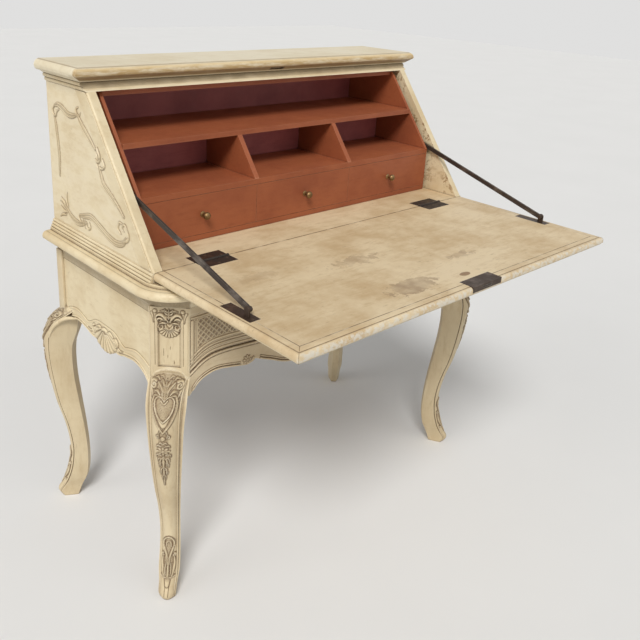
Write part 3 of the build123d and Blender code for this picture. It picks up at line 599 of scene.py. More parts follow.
def carve(strokes, across, up, soft=1.6):
    look = carveLook
    height = np.zeros(len(across))
    cut = np.zeros(len(across))
    hollow = np.zeros(len(across))
    ground = np.zeros(len(across))
    for path, width, rise in strokes:
        reach = width.max() + soft + 0.5
        near = (across > path[:, 0].min() - reach) & (across < path[:, 0].max() + reach)
        near &= (up > path[:, 1].min() - reach) & (up < path[:, 1].max() + reach)
        if not near.any():
            continue
        spots = np.stack([across[near], up[near]], 1)
        start, run = path[:-1], np.diff(path, axis=0)
        away = spots[:, None] - start[None]
        share = np.clip((away * run).sum(2) / (run ** 2).sum(1), 0, 1)
        gap = np.linalg.norm(away - share[..., None] * run, axis=2)
        broad = np.maximum(width[:-1] + share * np.diff(width), look["thinnest"])
        swell = np.clip(1 - (gap / broad).min(1) ** 2, 0, 1) ** look["round"]
        beside = (gap - broad).min(1)
        if rise == 0:
            ground[near] = np.maximum(ground[near], np.clip(2 * swell, 0, 1))
        elif rise > 0:
            height[near] = np.maximum(height[near], rise * swell)
            fade = np.where(beside > 0, 1 - beside / soft, 1 + beside / (0.5 * soft))
            ring = np.clip(look["ring"] * fade, 0, 1) * min(1.0, rise / look["fullRise"])
            hollow[near] = np.maximum(hollow[near], ring)
        else:
            cut[near] = np.maximum(cut[near], -rise * swell)
            hollow[near] = np.maximum(hollow[near], swell)
    top = max(height.max(), 0.1)
    hollow = np.maximum(hollow, look["ground"] * ground)
    return height - cut, np.clip(hollow * (1 - look["rubbed"] * height / top), 0, 1)


# evens out stepped ridges between neighbours of a grid
def soften(values, u, v, columns, rows):
    row, column = np.rint(v * rows).astype(int), np.rint(u * columns).astype(int)
    field = np.zeros((rows + 1, columns + 1))
    field[row, column] = values
    wide = np.pad(field, 1, mode="edge")
    field = (wide[:-2, 1:-1] + 2 * wide[1:-1, 1:-1] + wide[2:, 1:-1]) / 4
    wide = np.pad(field, 1, mode="edge")
    field = (wide[1:-1, :-2] + 2 * wide[1:-1, 1:-1] + wide[1:-1, 2:]) / 4
    return field[row, column]


# a grid laid over a face: place gives the spot of each corner and its glaze, which on some pieces holds painted
# shade as well
def shapedGrid(bm, columns, rows, place):
    glaze = bm.verts.layers.float.get("hollow") or bm.verts.layers.float.new("hollow")
    made = bmesh.ops.create_grid(bm, x_segments=columns, y_segments=rows, size=0.5)["verts"]
    flat = np.array([vert.co[:2] for vert in made]) + 0.5
    spots, hollow = place(flat[:, 0], flat[:, 1])
    for vert, spot, dark in zip(made, spots, hollow):
        vert.co = spot
        vert[glaze] = dark
    return made


def closeGrid(bm, made):
    bmesh.ops.remove_doubles(bm, verts=made, dist=1e-5)
    rim = [edge for edge in bm.edges if edge.is_boundary]
    bmesh.ops.holes_fill(bm, edges=rim, sides=0)


# a carved face closed by a flat back at one level of an axis
def panelGrid(columns, rows, place, axis, level):
    bm = bmesh.new()
    shapedGrid(bm, columns, rows, place)
    rim = [edge for edge in bm.edges if edge.is_boundary]
    for vert in bmesh.ops.extrude_edge_only(bm, edges=rim)["geom"]:
        if isinstance(vert, bmesh.types.BMVert):
            vert.co[axis] = level
    bmesh.ops.contextual_create(bm, geom=[edge for edge in bm.edges if edge.is_boundary])
    return bm


# a closed profile (distance out, height, glaze, which on some pieces holds painted shade as well) in millimetres
# swept along a path of spots and the way out at each
def sweptGrid(bm, spots, ways, profile, setBack=0.0, deep=()):
    spots, ways = np.array(spots), np.array(ways)
    shape = np.array([(*row, 0) for row in profile] + [(*row, 1) for row in deep])
    shape = np.vstack([shape, shape[:1]])
    setBack = np.broadcast_to(setBack, len(spots))

    def place(u, v):
        step = np.rint(u * (len(spots) - 1)).astype(int)
        out, up, dark, moved = shape[np.rint(v * (len(shape) - 1)).astype(int)].T
        made = np.empty((len(u), 3))
        made[:, :2] = spots[step] + ways[step] * ((out - moved * setBack[step]) / 1000)[:, None]
        made[:, 2] = up / 1000
        return made, dark

    closeGrid(bm, shapedGrid(bm, len(spots) - 1, len(shape) - 1, place))


def raised(profile, level):
    return [(out, level * 1000 + up, dark) for out, up, dark in profile]


def addBoard(bm, low, high, soft=0.001):
    low, high = Vector(low), Vector(high)
    matrix = Matrix.Translation((low + high) / 2) @ Matrix.Diagonal((*(high - low), 1))
    made = bmesh.ops.create_cube(bm, size=1.0, matrix=matrix)["verts"]
    edges = list({edge for vert in made for edge in vert.link_edges})
    bmesh.ops.bevel(bm, geom=edges, offset=soft, segments=2, profile=0.5, affect="EDGES", material=-1)


def keepPiece(name, bm, look, body="case", slot="painted_wood", replaced=(), crease=40.0):
    bmesh.ops.recalc_face_normals(bm, faces=bm.faces)
    piece = addMesh(name, bm, finishes[look])
    piece.data.polygons.foreach_set("use_smooth", [True] * len(piece.data.polygons))
    piece.data.set_sharp_from_angle(angle=math.radians(crease))
    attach(piece, body)
    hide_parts(*replaced)


def keepPair(name, bm, look, replaced="", **settings):
    other = bm.copy()
    bmesh.ops.scale(other, vec=(-1, 1, 1), verts=other.verts)
    for side, half in (("left", bm), ("right", other)):
        hidden = (replaced + "_" + side,) if replaced else ()
        keepPiece(name + "_" + side, half, look, replaced=hidden, **settings)


# cabriole legs
legLook = {
    "stations": [  # height, reach, depth, width and face of each section
        (0, 10, 46, 34, 24), (14, 17, 57, 38, 28), (34, 6, 54, 40, 29), (60, -6, 54, 46, 31),
        (100, -17, 49, 45, 30), (150, -21, 45, 44, 29), (210, -12, 49, 47, 32), (280, 8, 60, 56, 39),
        (360, 22, 65, 66, 46), (430, 28, 72, 74, 51), (475, 22, 80, 81, 54), (505, 4, 66, 81.6, 59.2),
        (525, -19.2, 44, 80, 67.2), (540, -40, 26, 75.2, 72),
    ],
    "crown": 0.34, "step": 6.0, "backShare": 0.22, "swell": 0.07, "rearShift": 13.1, "faceIn": 0.8,
    "deep": 1.45, "soft": 2.8,
    "bead": 2.3, "beadIn": 0.6, "beadOver": 1.4, "beadFrom": -125, "beadTurn": 240,
    "beadLow": 20, "beadHigh": 530, "beadEase": 25,
    "columns": (36, 8, 3, 9, 3),  # face, bead, step, flank and back, on each side
    "rows": [(0, 150, 130), (154, 296, 30), (298, 498, 180), (498.7, 540, 62)],  # from, to, how many
}


def kneeCarving():
    sides = bothSides([
        stroke([(0, 534), (-15, 533), (-30, 527)], 1, 0.8),
        stroke([(-30, 513), (-27, 506), (-24, 499)], (1, 2.2, 0.8), 2),
        stroke([(-14, 524), (-18, 527), (-24, 525)], (0.8, 1.8, 0.7), 1.6),
        stroke([(-6, 527), (-9, 530), (-14, 529)], (0.8, 1.5, 0.6), 1.4),
        curl((-24, 516), 6.5, 60, 1.5, (2.2, 1), 3),
        stroke([(-3, 505), (-8, 514), (-16, 521)], (1, 2.6, 1), 2.4),
        stroke([(-2, 508), (-4, 517), (-9, 525)], (0.8, 2, 0.8), 2),
        stroke([(-9, 504), (-15, 509), (-21, 508)], (1, 2.4, 0.8), 2.2),
        stroke([(-12, 503), (-19, 502), (-24, 497)], (0.8, 1.8, 0.8), 2),
        stroke([(0, 495), (-6, 501), (-13, 501), (-18, 494), (-17, 482), (-11, 468), (0, 456)], 1.5, 2.4),
        stroke([(-21, 499), (-23, 487), (-21, 474), (-16, 460), (-9, 447), (0, 434)], (1.6, 2.4, 3, 2.2), 2.8),
        curl((-20, 486), 4, 200, 1, (1.4, 0.8), 2),
        stroke([(-2, 443), (-6, 436), (-9, 428)], (0.8, 1.6, 0.6), 1.6),
    ])
    heart = [stroke([(0, 487), (0, 468)], (14.5, 8), 0.8), stroke([(-6, 496), (0, 490.5), (6, 496)], 1.5, 2.8)]
    heart += [stroke([(0, 487), (0, 466)], (15.5, 9), 0), stroke([(0, 526), (0, 496)], (27, 22), 0)]
    for index in range(9):  # feathered edge of the heart
        share = index / 8
        base = np.array([-22.5 + 14 * share ** 1.5, 490 - 42 * share])
        sides += bothSides([stroke([base, base + (-2.8, 2.4), base + (-3.4, 5.4)], (0.9, 1.4, 0.5), 1.8)])
    for index in range(46):  # stippled ground of the heart
        turn, far = index * 2.39996, 13.0 * math.sqrt((index + 0.5) / 46)
        heart.append(dot((far * math.cos(turn), 481 + 1.1 * far * math.sin(turn)), 0.8, -1))
    return sides + heart + leaf((0, 497), (0, 526), 8, 2.4)


def dropCarving():
    strokes = [dot((0, 421), 5, 3.2), dot((0, 421), 1.6, -1.2), dot((0, 391), 3, 3)]
    strokes += petals((0, 391), 3, 11.5, (1.2, 3.2, 1.4), 2.2, 0.8)
    strokes += bothSides([
        curl((-9, 424), 4, 80, 1.2, (1.5, 0.7), 2),
        stroke([(0, 408), (-5, 411), (-8, 407)], (1.2, 2, 0.8), 1.8),
        stroke([(0, 377), (-6, 368), (-6, 354)], (1.4, 2.6, 0.8), 2.2),
        stroke([(0, 372), (-9, 372), (-11, 363)], (1, 2, 0.6), 1.6),
        stroke([(0, 352), (-5, 343), (-4, 331)], (1, 1.9, 0.6), 1.8),
        stroke([(0, 331), (-3, 325), (-2.5, 317)], (0.8, 1.4, 0.5), 1.4),
        stroke([(-3, 402), (-10, 404), (-13, 399)], (0.8, 1.7, 0.6), 1.8),
        stroke([(-4, 381), (-12, 381), (-14, 375)], (0.8, 1.6, 0.6), 1.6),
        stroke([(-3, 362), (-9, 357), (-9, 349)], (0.8, 1.5, 0.5), 1.5),
        stroke([(-2, 343), (-7, 337), (-6, 330)], (0.7, 1.2, 0.5), 1.3),
    ])
    return strokes + [
        stroke([(0, 427), (0, 385), (0, 340), (0, 306)], (10, 12, 7, 3), 0),
        stroke([(0, 378), (0, 364), (0, 350)], (1.6, 3.6, 1.2), 2.8),
        stroke([(0, 350), (0, 338), (0, 326)], (1.2, 2.6, 0.9), 2.2),
        stroke([(0, 328), (0, 314), (0, 302)], (1, 1.8, 0.5), 1.6),
    ]


def footCarving():
    return bothSides([
        stroke([(-10, 119), (-9.5, 131), (-5, 139), (0, 142)], 1.7, 2.2),
        stroke([(-10, 121), (-6.5, 108), (-3, 95), (-2, 78)], (1.6, 2.6, 1.6), 2.2),
        stroke([(-5, 118), (-4, 128), (0, 132)], (1.2, 2.2, 1.6), 1.4),
        curl((-10.5, 97), 3.4, 100, 1, (1.7, 0.9), 2.2),
        stroke([(-11, 93), (-12, 78), (-10, 62), (-8, 53)], (1.4, 2.8, 1.8), 2.2),
        stroke([(-5, 80), (-6, 66), (-5, 54)], (1, 2, 1.2), 1.8),
        stroke([(0, 50.5), (-8, 50.5), (-14, 51)], 1.7, 2),
        stroke([(-4.2, 12), (-4.5, 34)], 0.7, -1),
    ]) + [stroke([(0, 92), (0, 70), (0, 53)], (1.4, 2.4, 2.8), 2.4), stroke([(0, 45), (0, 36)], (6, 4.5), 1.6),
          stroke([(0, 138), (0, 96), (0, 55)], (8, 9, 13), 0)]


def legSections(heights):
    table = np.array(legLook["stations"], float)
    levels = table[:, 0]
    slopes = np.gradient(table, levels, axis=0)
    slopes[1:-1] = (table[2:] - table[:-2]) / (levels[2:] - levels[:-2])[:, None]
    index = np.clip(np.searchsorted(levels, heights, side="right") - 1, 0, len(levels) - 2)
    gap = levels[index + 1] - levels[index]
    t = ((heights - levels[index]) / gap)[:, None]
    low, high = table[index], table[index + 1]
    rise, fall = slopes[index] * gap[:, None], slopes[index + 1] * gap[:, None]
    eased = (2 * t ** 3 - 3 * t ** 2 + 1) * low + (t ** 3 - 2 * t ** 2 + t) * rise
    return (eased + (3 * t ** 2 - 2 * t ** 3) * high + (t ** 3 - t ** 2) * fall)[:, 1:].T


# a leg stands on the diagonal of its corner: out along it, over to one side, up
def legSpots(corner, outward, out, over, height):
    outward = np.array(outward)
    lateral = np.array([-outward[1], outward[0]])
    flat = np.array(corner) + (out[:, None] * outward + over[:, None] * lateral) / 1000
    return np.column_stack([flat, height / 1000])


def addLeg(bm, corner, outward, shift, strokes):
    look = legLook
    stops = np.cumsum((0,) + look["columns"])
    levels = np.concatenate([np.linspace(*rows) for rows in look["rows"]])

    def place(u, v):
        step = np.rint(u * 2 * stops[-1]) - stops[-1]
        hand, step = np.sign(step), np.abs(step)
        run = np.searchsorted(stops[1:-1], step)
        parts = [np.clip((step - stop) / count, 0, 1) for stop, count in zip(stops, look["columns"])]
        height = levels[np.rint(v * (len(levels) - 1)).astype(int)]
        reach, depth, width, face = legSections(height)
        reach = reach + shift
        edge = reach - look["crown"] * face
        radius = (face ** 2 / 4 + (look["crown"] * face) ** 2) / (2 * look["crown"] * face)

        side = parts[0] * (face / 2 - look["faceIn"])  # crowned face
        lift, hollow = carve(strokes, side * hand, height, look["soft"])
        normal, thick = side / radius, radius + lift * look["deep"]
        faceOut, faceOver = reach - radius + thick * np.sqrt(1 - normal ** 2), thick * normal

        lean = np.arcsin(np.clip(face / 2 / radius, 0, 1))  # bead on the arris
        ends = np.minimum(height - look["beadLow"], look["beadHigh"] - height)
        bead = look["bead"] * np.clip(ends / look["beadEase"], 0.3, 1)

        def beadSpot(part):
            turn = lean + np.radians(look["beadFrom"] + look["beadTurn"] * part)
            return edge - look["beadIn"] + bead * np.cos(turn), face / 2 + look["beadOver"] + bead * np.sin(turn)

        beadOut, beadOver = beadSpot(parts[1])
        lastOut, lastOver = beadSpot(1.0)
        flank = edge - look["step"]  # step down to the flank, which draws in to the back
        back, narrow = reach - depth, look["backShare"] * width
        swell = look["swell"] * width * parts[3] * (1 - parts[3])
        out = np.choose(run, [
            faceOut, beadOut, lastOut + (flank - lastOut) * parts[2], flank + (back - flank) * parts[3], back,
        ])
        over = np.choose(run, [
            faceOver, beadOver, lastOver + (width / 2 - lastOver) * parts[2] ** 0.7,
            width / 2 + (narrow - width / 2) * parts[3] + swell, narrow * (1 - parts[4]),
        ])
        hollow = np.choose(run, [hollow, 0.8 * (parts[1] < 0.2), 0.7 * (parts[2] < 0.5), 0.0, 0.0])
        return legSpots(corner, outward, out, over * hand, height), hollow

    closeGrid(bm, shapedGrid(bm, 2 * stops[-1], len(levels) - 1, place))


# a round roll along a path of spots, thickest in the middle
def addRoll(bm, path, thin, thick, sides=16):
    path = smoothPath(path, 8)
    run = np.gradient(path, axis=0)
    run /= np.linalg.norm(run, axis=1)[:, None]
    side = np.cross(run, (0, 0, 1))
    side /= np.linalg.norm(side, axis=1)[:, None]
    radius = thin + (thick - thin) * np.sin(math.pi * np.linspace(0, 1, len(path)))

    def place(u, v):
        step = np.rint(u * (len(path) - 1)).astype(int)
        turn = 2 * math.pi * v[:, None]
        ring = np.cos(turn) * side[step] + np.sin(turn) * np.cross(side, run)[step]
        return path[step] + radius[step, None] * ring, np.zeros(len(u))

    closeGrid(bm, shapedGrid(bm, len(path) - 1, sides, place))


# the outer corner of a rear leg turns over in an arch to the edge of the side panel
archLook = {
    "heights": (462, 474, 486, 496), "inset": 0.5, "thin": 0.0015, "thick": 0.0052,
    "over": [(-0.5020, 0.3500, 0.5050), (-0.4965, 0.3440, 0.5110), (-0.4900, 0.3370, 0.5150),
             (-0.4830, 0.3285, 0.5172), (-0.4785, 0.3195, 0.5185), (-0.4774, 0.3100, 0.5214)],
}


def addArch(bm, corner, outward, shift):
    look = archLook
    heights = np.array(look["heights"], float)
    reach, _, width, face = legSections(heights)
    out = reach + shift - legLook["crown"] * face - legLook["step"]
    start = legSpots(corner, outward, out, width / 2 - look["inset"], heights)
    addRoll(bm, np.vstack([start, look["over"]]), look["thin"], look["thick"])


# corner posts with a canted face, a sunken panel and a carved capital
postLook = {
    "cant": 53.0, "size": 57.0, "panelHalf": 22.0, "panelLow": 542.0, "panelHigh": 646.0, "sink": 4.0, "wall": 1.2,
    "wallLine": 1.8, "wallGlaze": 0.6, "cornerFrom": 35.5, "cornerRound": 0.4, "low": 480.0,
    "columns": (2, 3, 84, 3, 2), "rows": 150,
}


def capitalCarving():
    sides = bothSides([
        dot((-27, 664), 4.2, 4.5),
        stroke([(-1.7, 641), (-8.3, 652), (-15, 657), (-22, 656), (-25, 651)], (2, 3.4, 3.6, 2.6, 1.2), 6),
        stroke([(-8, 642), (-15, 649), (-21, 648), (-21, 642)], (1.2, 2.6, 2.4, 1.2), 4.6),
        stroke([(-19, 636), (-21, 629), (-16, 625), (-12, 629), (-14, 633)], (1.4, 2.4, 2.2, 1.2), 4.4),
        stroke([(-6, 637), (-12, 638), (-18, 636)], (1.4, 2.4, 1), 4),
        stroke([(-1, 624), (-6, 628), (-8, 634)], (2.2, 2.6, 1.2), 4.8),
        stroke([(-34, 660), (-31, 652), (-30, 640)], (2.4, 1.8, 0.6), 2),
        stroke([(-2, 662), (-9, 665), (-17, 664)], (1.4, 2.4, 1), 3),
        stroke([(-28, 641), (-28, 600), (-28, 546)], 0.7, -0.8, 2),
    ])
    scratches = [
        ([(-11.7, 582), (-11.7, 565)], (0.3, 0.9, 0.3), -0.7), ([(1.7, 587), (1.5, 579)], (0.3, 0.9, 0.3), -0.7),
        ([(9, 556), (9.6, 547)], (0.4, 1.3, 0.4), -0.9), ([(-3.5, 567), (-3.5, 562)], 0.6, -0.6),
    ]
    panel = [stroke(*scratch, 2) for scratch in scratches]
    panel += [stroke([(-22, 641), (-22, 544), (22, 544), (22, 641)], 1, 0.9, 1)]
    middle = leaf((0, 648), (0, 669), 9, 3.6) + [dot((0, 635), 3.6, -1.5)]
    return sides + middle + fan(629, 6, 23, 160, 4.2) + panel


def addPost(bm):
    look = postLook
    corner = np.array([-halfLower, frontY]) * 1000
    cant, size = look["cant"], look["size"]
    ring = np.array([(size, size), (0, size), (0, cant), (cant, 0), (size, 0), (size, size)])
    stops = np.cumsum((0,) + look["columns"])
    strokes = capitalCarving()

    def place(u, v):
        step = np.rint(u * stops[-1])
        height = look["low"] + (waistZ * 1000 - look["low"]) * v
        index = np.clip(np.searchsorted(stops, step, side="right") - 1, 0, 4)
        part = (step - stops[index]) / np.array(look["columns"])[index]
        flat = ring[index] + (ring[index + 1] - ring[index]) * part[:, None]
        onCant = (step >= stops[2]) & (step <= stops[3])
        across = (step - (stops[2] + stops[3]) / 2) / look["columns"][2] * cant * math.sqrt(2)
        lift, hollow = carve(strokes, across, height)
        inside = np.minimum(height - look["panelLow"], look["panelHigh"] - height)
        inside = np.minimum(look["panelHalf"] - np.abs(across), inside)
        sunk = np.clip(inside / look["wall"] + 0.5, 0, 1)
        corners = np.clip(np.abs(across) - look["cornerFrom"], 0, 2) ** 2 * look["cornerRound"]
        lift = lift - sunk * look["sink"] - corners
        hollow = np.maximum(hollow, line(inside, look["wall"], look["wallLine"]) * look["wallGlaze"])
        flat = flat - (np.where(onCant, lift, 0) / math.sqrt(2))[:, None]
        return np.column_stack([(corner + flat) / 1000, height / 1000]), np.where(onCant, hollow, 0)

    closeGrid(bm, shapedGrid(bm, stops[-1], look["rows"], place))


def buildLegs():
    diagonal = math.sqrt(0.5)
    strokes = kneeCarving() + dropCarving() + footCarving()
    bm = bmesh.new()
    addLeg(bm, (-halfLower, frontY), (-diagonal, -diagonal), 0.0, strokes)
    addPost(bm)
    keepPair("leg_front_carved", bm, "legPaint", replaced="leg_front")
    bm = bmesh.new()
    addLeg(bm, (-halfLower, backY), (-diagonal, diagonal), legLook["rearShift"], strokes)
    addArch(bm, (-halfLower, backY), (-diagonal, diagonal), legLook["rearShift"])
    addBoard(bm, (-halfLower, backY - 0.026, bracketZ), (-halfLower + 0.040, backY, waistZ), 0.0015)
    keepPair("leg_rear_carved", bm, "legPaint", replaced="leg_rear")


buildLegs()
print("legs carved")


# heights of a shaped edge along a panel, from shares of its half length and of the apron's rise
def shapedEdge(along, half, shares):
    path = smoothPath([(share * half, 1000 * (bracketZ + rise * apronRise)) for share, rise in shares], 10)
    order = np.argsort(path[:, 0])
    return np.interp(np.abs(along), path[order, 0], path[order, 1])


# beads along a line: how far above it, half width, rise
def beadLines(along, heights, beads):
    return [stroke(np.stack([along, heights + up], 1), width, rise, 1) for up, width, rise in beads]


# shaped side panels with a raised border, a shell and a rail under the waist
sideLook = {
    "edge": [(0, 0.71), (0.3, 0.71), (0.45, 0.88), (0.68, 1), (0.88, 0.68), (1, 0)],
    "border": [(0, 1.86), (0.22, 1.8), (0.41, 1.40), (0.52, 1.5), (0.68, 1.66), (0.86, 1.52), (1, 1.22)],
    "hub": 550.0, "shell": 58.0, "scallop": 1.6, "field": -0.4755, "back": -0.463, "raised": 1.5, "soft": 2.0,
    # the band between the rail line and the waist is darkened with painted shade under the waist's lip
    "rail": 655.5, "railFoot": 3.0, "railRise": 1.4, "railPaintedShade": 0.4, "railLine": (1.4, 0.6, 1.5), "shellHalf": 44,
    "beads": [(3.6, 2.2, 2.2), (3.2, 8.0, 2.0)],  # rise, distance over the lower edge, half width
    "edgeLines": [(1.0, 5.0, 1.0), (0.35, 11.0, 1.2)],  # glaze, distance over the lower edge, half width
    "borderLines": [(1.0, -0.9, 1.2), (0.25, 4.6, 1.4)],  # glaze, distance under the border, half width
    "columns": 250, "lowRows": 64, "highRows": 64,
}


def sideCarving():
    strokes = fan(sideLook["hub"], 16, sideLook["shell"], 150, 5)
    strokes += bothSides([
        curl((-45, 531), 10, 100, 1.4, (3.4, 1.6), 5),
        stroke([(-36, 541), (-22, 546), (-10, 541)], (2, 4, 2.5), 4.4),
        stroke([(-55, 524), (-64, 521), (-74, 524)], (2, 2.6, 0.8), 3.8),
    ])
    return strokes + [stroke([(-9, 543), (0, 546), (9, 543)], 5, 4.8)]


# the lower edge dips round the shell
def shellEdge(along, bottom, hub, shell):
    arch = hub - np.sqrt(np.clip(shell ** 2 - along ** 2, 0, None))
    return np.where(np.abs(along) < shell, np.minimum(bottom, arch), bottom)


def buildLowerSides():
    look = sideLook
    low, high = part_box("lower_side_left")
    middle, half = (low.y + high.y) * 500, (high.y - low.y) * 500
    lowRows, highRows = look["lowRows"], look["highRows"]
    foot = look["rail"] - look["railFoot"]
    strokes = sideCarving()

    def place(u, v):
        along = half * (2 * u - 1)
        step = np.rint(v * (lowRows + highRows))
        scallop = look["shell"] - look["scallop"] * np.abs(np.cos(np.arctan2(along, 40) * 9 * 1.2)) ** 2
        bottom = shellEdge(along, shapedEdge(along, half, look["edge"]), look["hub"], scallop)
        border = shapedEdge(along, half, look["border"])
        share = np.clip(step / lowRows, 0, 1)
        above = np.clip(step / lowRows - 1, 0, None) * lowRows / highRows
        field = border + (foot - border) * np.clip(above / 0.65, 0, 1) ** 1.3
        field += np.interp(above, (0.65, 0.9, 1), (0, 5, waistZ * 1000 - foot))  # more rows on the rail's edge
        height = np.where(step > lowRows, field, bottom + (border - bottom) * share)
        lift, hollow = carve(strokes, along, height, look["soft"])
        down, edge = border - height, height - bottom
        plain = np.clip((np.abs(along) - look["shellHalf"]) / 8, 0, 1)  # the shell breaks the beads of the edge
        flat = look["raised"] * np.clip(down / 1.2, 0, 1) + 0.6 * hump(down, 1.8, 1.7)
        beads = plain * np.max([rise * hump(edge, up, wide) for rise, up, wide in look["beads"]], axis=0)
        rail = np.clip((height - look["rail"]) / 0.8, 0, 1)
        lift = np.maximum(lift, np.maximum(flat, beads)) + look["railRise"] * rail
        dark, drop, wide = look["railLine"]
        # painted shade on the band over the rail, then glaze lines
        darks = [hollow, look["railPaintedShade"] * rail, dark * line(height, look["rail"] - drop, wide)]
        darks += [dark * line(down, gap, wide) for dark, gap, wide in look["borderLines"]]
        darks += [plain * dark * line(edge, gap, wide) for dark, gap, wide in look["edgeLines"]]
        spots = np.stack([np.full(len(u), look["field"]) - lift / 1000, (middle + along) / 1000, height / 1000], 1)
        return spots, np.clip(np.max(darks, axis=0), 0, 1)

    bm = panelGrid(look["columns"], lowRows + highRows, place, 0, look["back"])
    keepPair("lower_side_carved", bm, "sidePaint", replaced="lower_side")


# front apron and the frieze drawer above it share one arched line
frontLook = {
    "crest": [(0, 1.32), (0.55, 1.71), (0.8, 1.9), (0.91, 1.76), (1, 1.22)],
    "bracket": [(0.600, 0.73), (0.612, 0.63), (0.634, 0.555), (0.668, 0.55), (0.75, 0.73), (0.854, 0.88),
                (0.943, 0.61), (1, 0)],
    "swag": [(0, -0.54), (0.2, -0.46), (0.382, -0.2), (0.5, 0.3), (0.608, 0.76)],
    "half": 424.0, "thickness": 20.0, "hub": 515.0, "shell": 58.0, "rosette": (-278, 515),
    "columns": 520, "rows": 60,
}


def apronEdge(along):
    half = frontLook["half"]
    return np.where(
        np.abs(along) > 0.6 * half,
        shapedEdge(along, half, frontLook["bracket"]),
        shapedEdge(along, half, frontLook["swag"]),
    )


def apronCarving():
    half, centre = frontLook["half"], frontLook["rosette"]
    along = np.linspace(-half, half, 121)
    edge = apronEdge(along)
    crest = shapedEdge(along, half, frontLook["crest"])
    strokes = beadLines(along, crest, ((-3, 2.4, 2.2), (-8, 0.9, -0.9)))
    for low, high in ((-half, -0.69 * half), (-0.58 * half, -56), (56, 0.58 * half), (0.69 * half, half)):
        keep = (along > low) & (along < high)
        strokes += beadLines(along[keep], edge[keep], ((2.2, 2.2, 2.4), (8, 1.6, 2), (5.2, 0.8, -0.8)))
    rosette = petals(centre, 3.5, 9.5, (1.2, 3, 1.6), 3.2) + [dot(centre, 3.6, 4)]
    strokes += bothSides(rosette + [
        stroke([(-264, 511), (-261, 515), (-258, 513)], (1.4, 2.2, 1), 2.6),
        curl((-47, 497), 9.5, 100, 1.4, (3.2, 1.5), 4),
        stroke([(-58, 488), (-84, 486), (-112, 497)], (2, 3.4, 0.8), 3),
        stroke([(-60, 495), (-78, 500), (-92, 511)], (1.4, 2.6, 0.8), 2.6),
    ])
    return strokes + fan(frontLook["hub"], 15, frontLook["shell"], 150, 3.8)


def buildApron():
    look = frontLook
    half = look["half"]
    strokes = apronCarving()

    def place(u, v):
        along = half * (2 * u - 1)
        bottom = shellEdge(along, apronEdge(along), look["hub"], look["shell"])
        height = bottom + (shapedEdge(along, half, look["crest"]) - bottom) * v
        lift, hollow = carve(strokes, along, height)
        return np.stack([along / 1000, frontY - lift / 1000, height / 1000], 1), hollow

    bm = panelGrid(look["columns"], look["rows"], place, 1, frontY + look["thickness"] / 1000)
    keepPiece("front_apron_carved", bm, "frontPaint", replaced=("front_apron",))


# frieze drawer: a lattice in a frame of beads
friezeLook = {
    "gap": 1.5, "top": 654.5, "inset": 2.0, "lattice": 13.0, "ridge": 0.21, "latticeRise": 1.6, "latticeSink": 0.9,
    "glaze": 0.75, "columns": 840, "rows": 104,
    "frame": (32, 643, 19),  # lattice above the crest, below the top bead, in from the ends
    "beads": ((6.0, 2.6, 1.8), (15.0, 1.8, 1.5), (21.0, 1.8, 1.5), (29.0, 2.6, 1.9)),
}


def friezeCarving(half):
    along = np.linspace(-half, half, 121)
    crest = shapedEdge(along, frontLook["half"], frontLook["crest"])
    strokes = beadLines(along, crest, friezeLook["beads"])
    strokes += [stroke([(-half, 648), (half, 648)], 2.2, 1.8, 1)]
    return strokes + bothSides([
        stroke([(-half + 5, 640), (-half + 5, 552)], 4.2, 2, 1),
        stroke([(-half + 14, 641), (-half + 14, 560)], 1.6, 1.4, 1),
    ])


def buildFriezeFront():
    look = friezeLook
    half = frontLook["half"] - look["gap"]
    faceY = frontY + look["inset"] / 1000
    above, below, beside = look["frame"]
    strokes = friezeCarving(half)

    def place(u, v):
        along = half * (2 * u - 1)
        bottom = shapedEdge(along, frontLook["half"], frontLook["crest"]) + look["gap"]
        height = bottom + (look["top"] - bottom) * v
        lift, hollow = carve(strokes, along, height)
        inside = np.minimum(np.minimum(height - bottom - above, below - height), half - beside - np.abs(along))
        lines = [np.abs((along + way * height) / look["lattice"] % 1 - 0.5) for way in (-1, 1)]
        ridge = np.clip(1 - np.minimum(*[0.5 - gap for gap in lines]) / look["ridge"], 0, 1)
        on = np.clip(inside / 1.5, 0, 1)
        lift = lift + on * (look["latticeRise"] * ridge * (2 - ridge) - look["latticeSink"])
        hollow = np.maximum(hollow, on * (1 - ridge) * look["glaze"])
        return np.stack([along / 1000, faceY - lift / 1000, height / 1000], 1), hollow

    bm = panelGrid(look["columns"], look["rows"], place, 1, faceY + frontLook["thickness"] / 1000)
    keepPiece("frieze_front_carved", bm, "frontPaint", body="frieze_drawer", replaced=("frieze_drawer_front",))


buildLowerSides()
buildApron()
buildFriezeFront()
print("lower case carved")


# waist moulding: stepped top, flat with a shallow groove, thin rolled lip with a deep undercut; painted shade
# darkens the underside of the lip and the fascia below it
waistLook = {
    "profile": [  # distance out, height over the lower case, glaze
        (-19, 0, 0), (-19, 53, 0), (4, 53, 0.2), (9.2, 53, 0), (9.9, 52.4, 0), (10.0, 47.6, 0.5), (10.4, 46.6, 1.0),
        (11.4, 46.3, 0.6), (13, 46.4, 0.0), (19, 46.0, 0), (20.2, 45.7, 0.3), (20.8, 45.1, 0.6), (21.6, 45.4, 0.3),
        (23, 45.2, 0), (26, 43.6, 0), (28.4, 41, 0), (29.7, 38, 0), (30, 35, 0), (29.9, 32.4, 0), (29.3, 30.2, 0),
        # the dark rows under the lip are painted shade
        (28.2, 28.9, 0.1), (26.6, 28.4, 0.6), (18, 28.0, 0.9), (5, 27.6, 1.0),
    ],
    # the fascia is darkened all over with painted shade
    "fascia": [(1.5, 27, 1.0), (0, 25.5, 0.8), (0, 12, 0.5), (0, 0, 0.5)],
    "setBack": (4.1, 11.3, 0.2),  # of the fascia, on the sides, more on the corners, on the front
    "radius": 0.058, "frontRail": 0.073, "backRail": 0.020, "sideRail": 0.019, "turnSteps": 24,
}


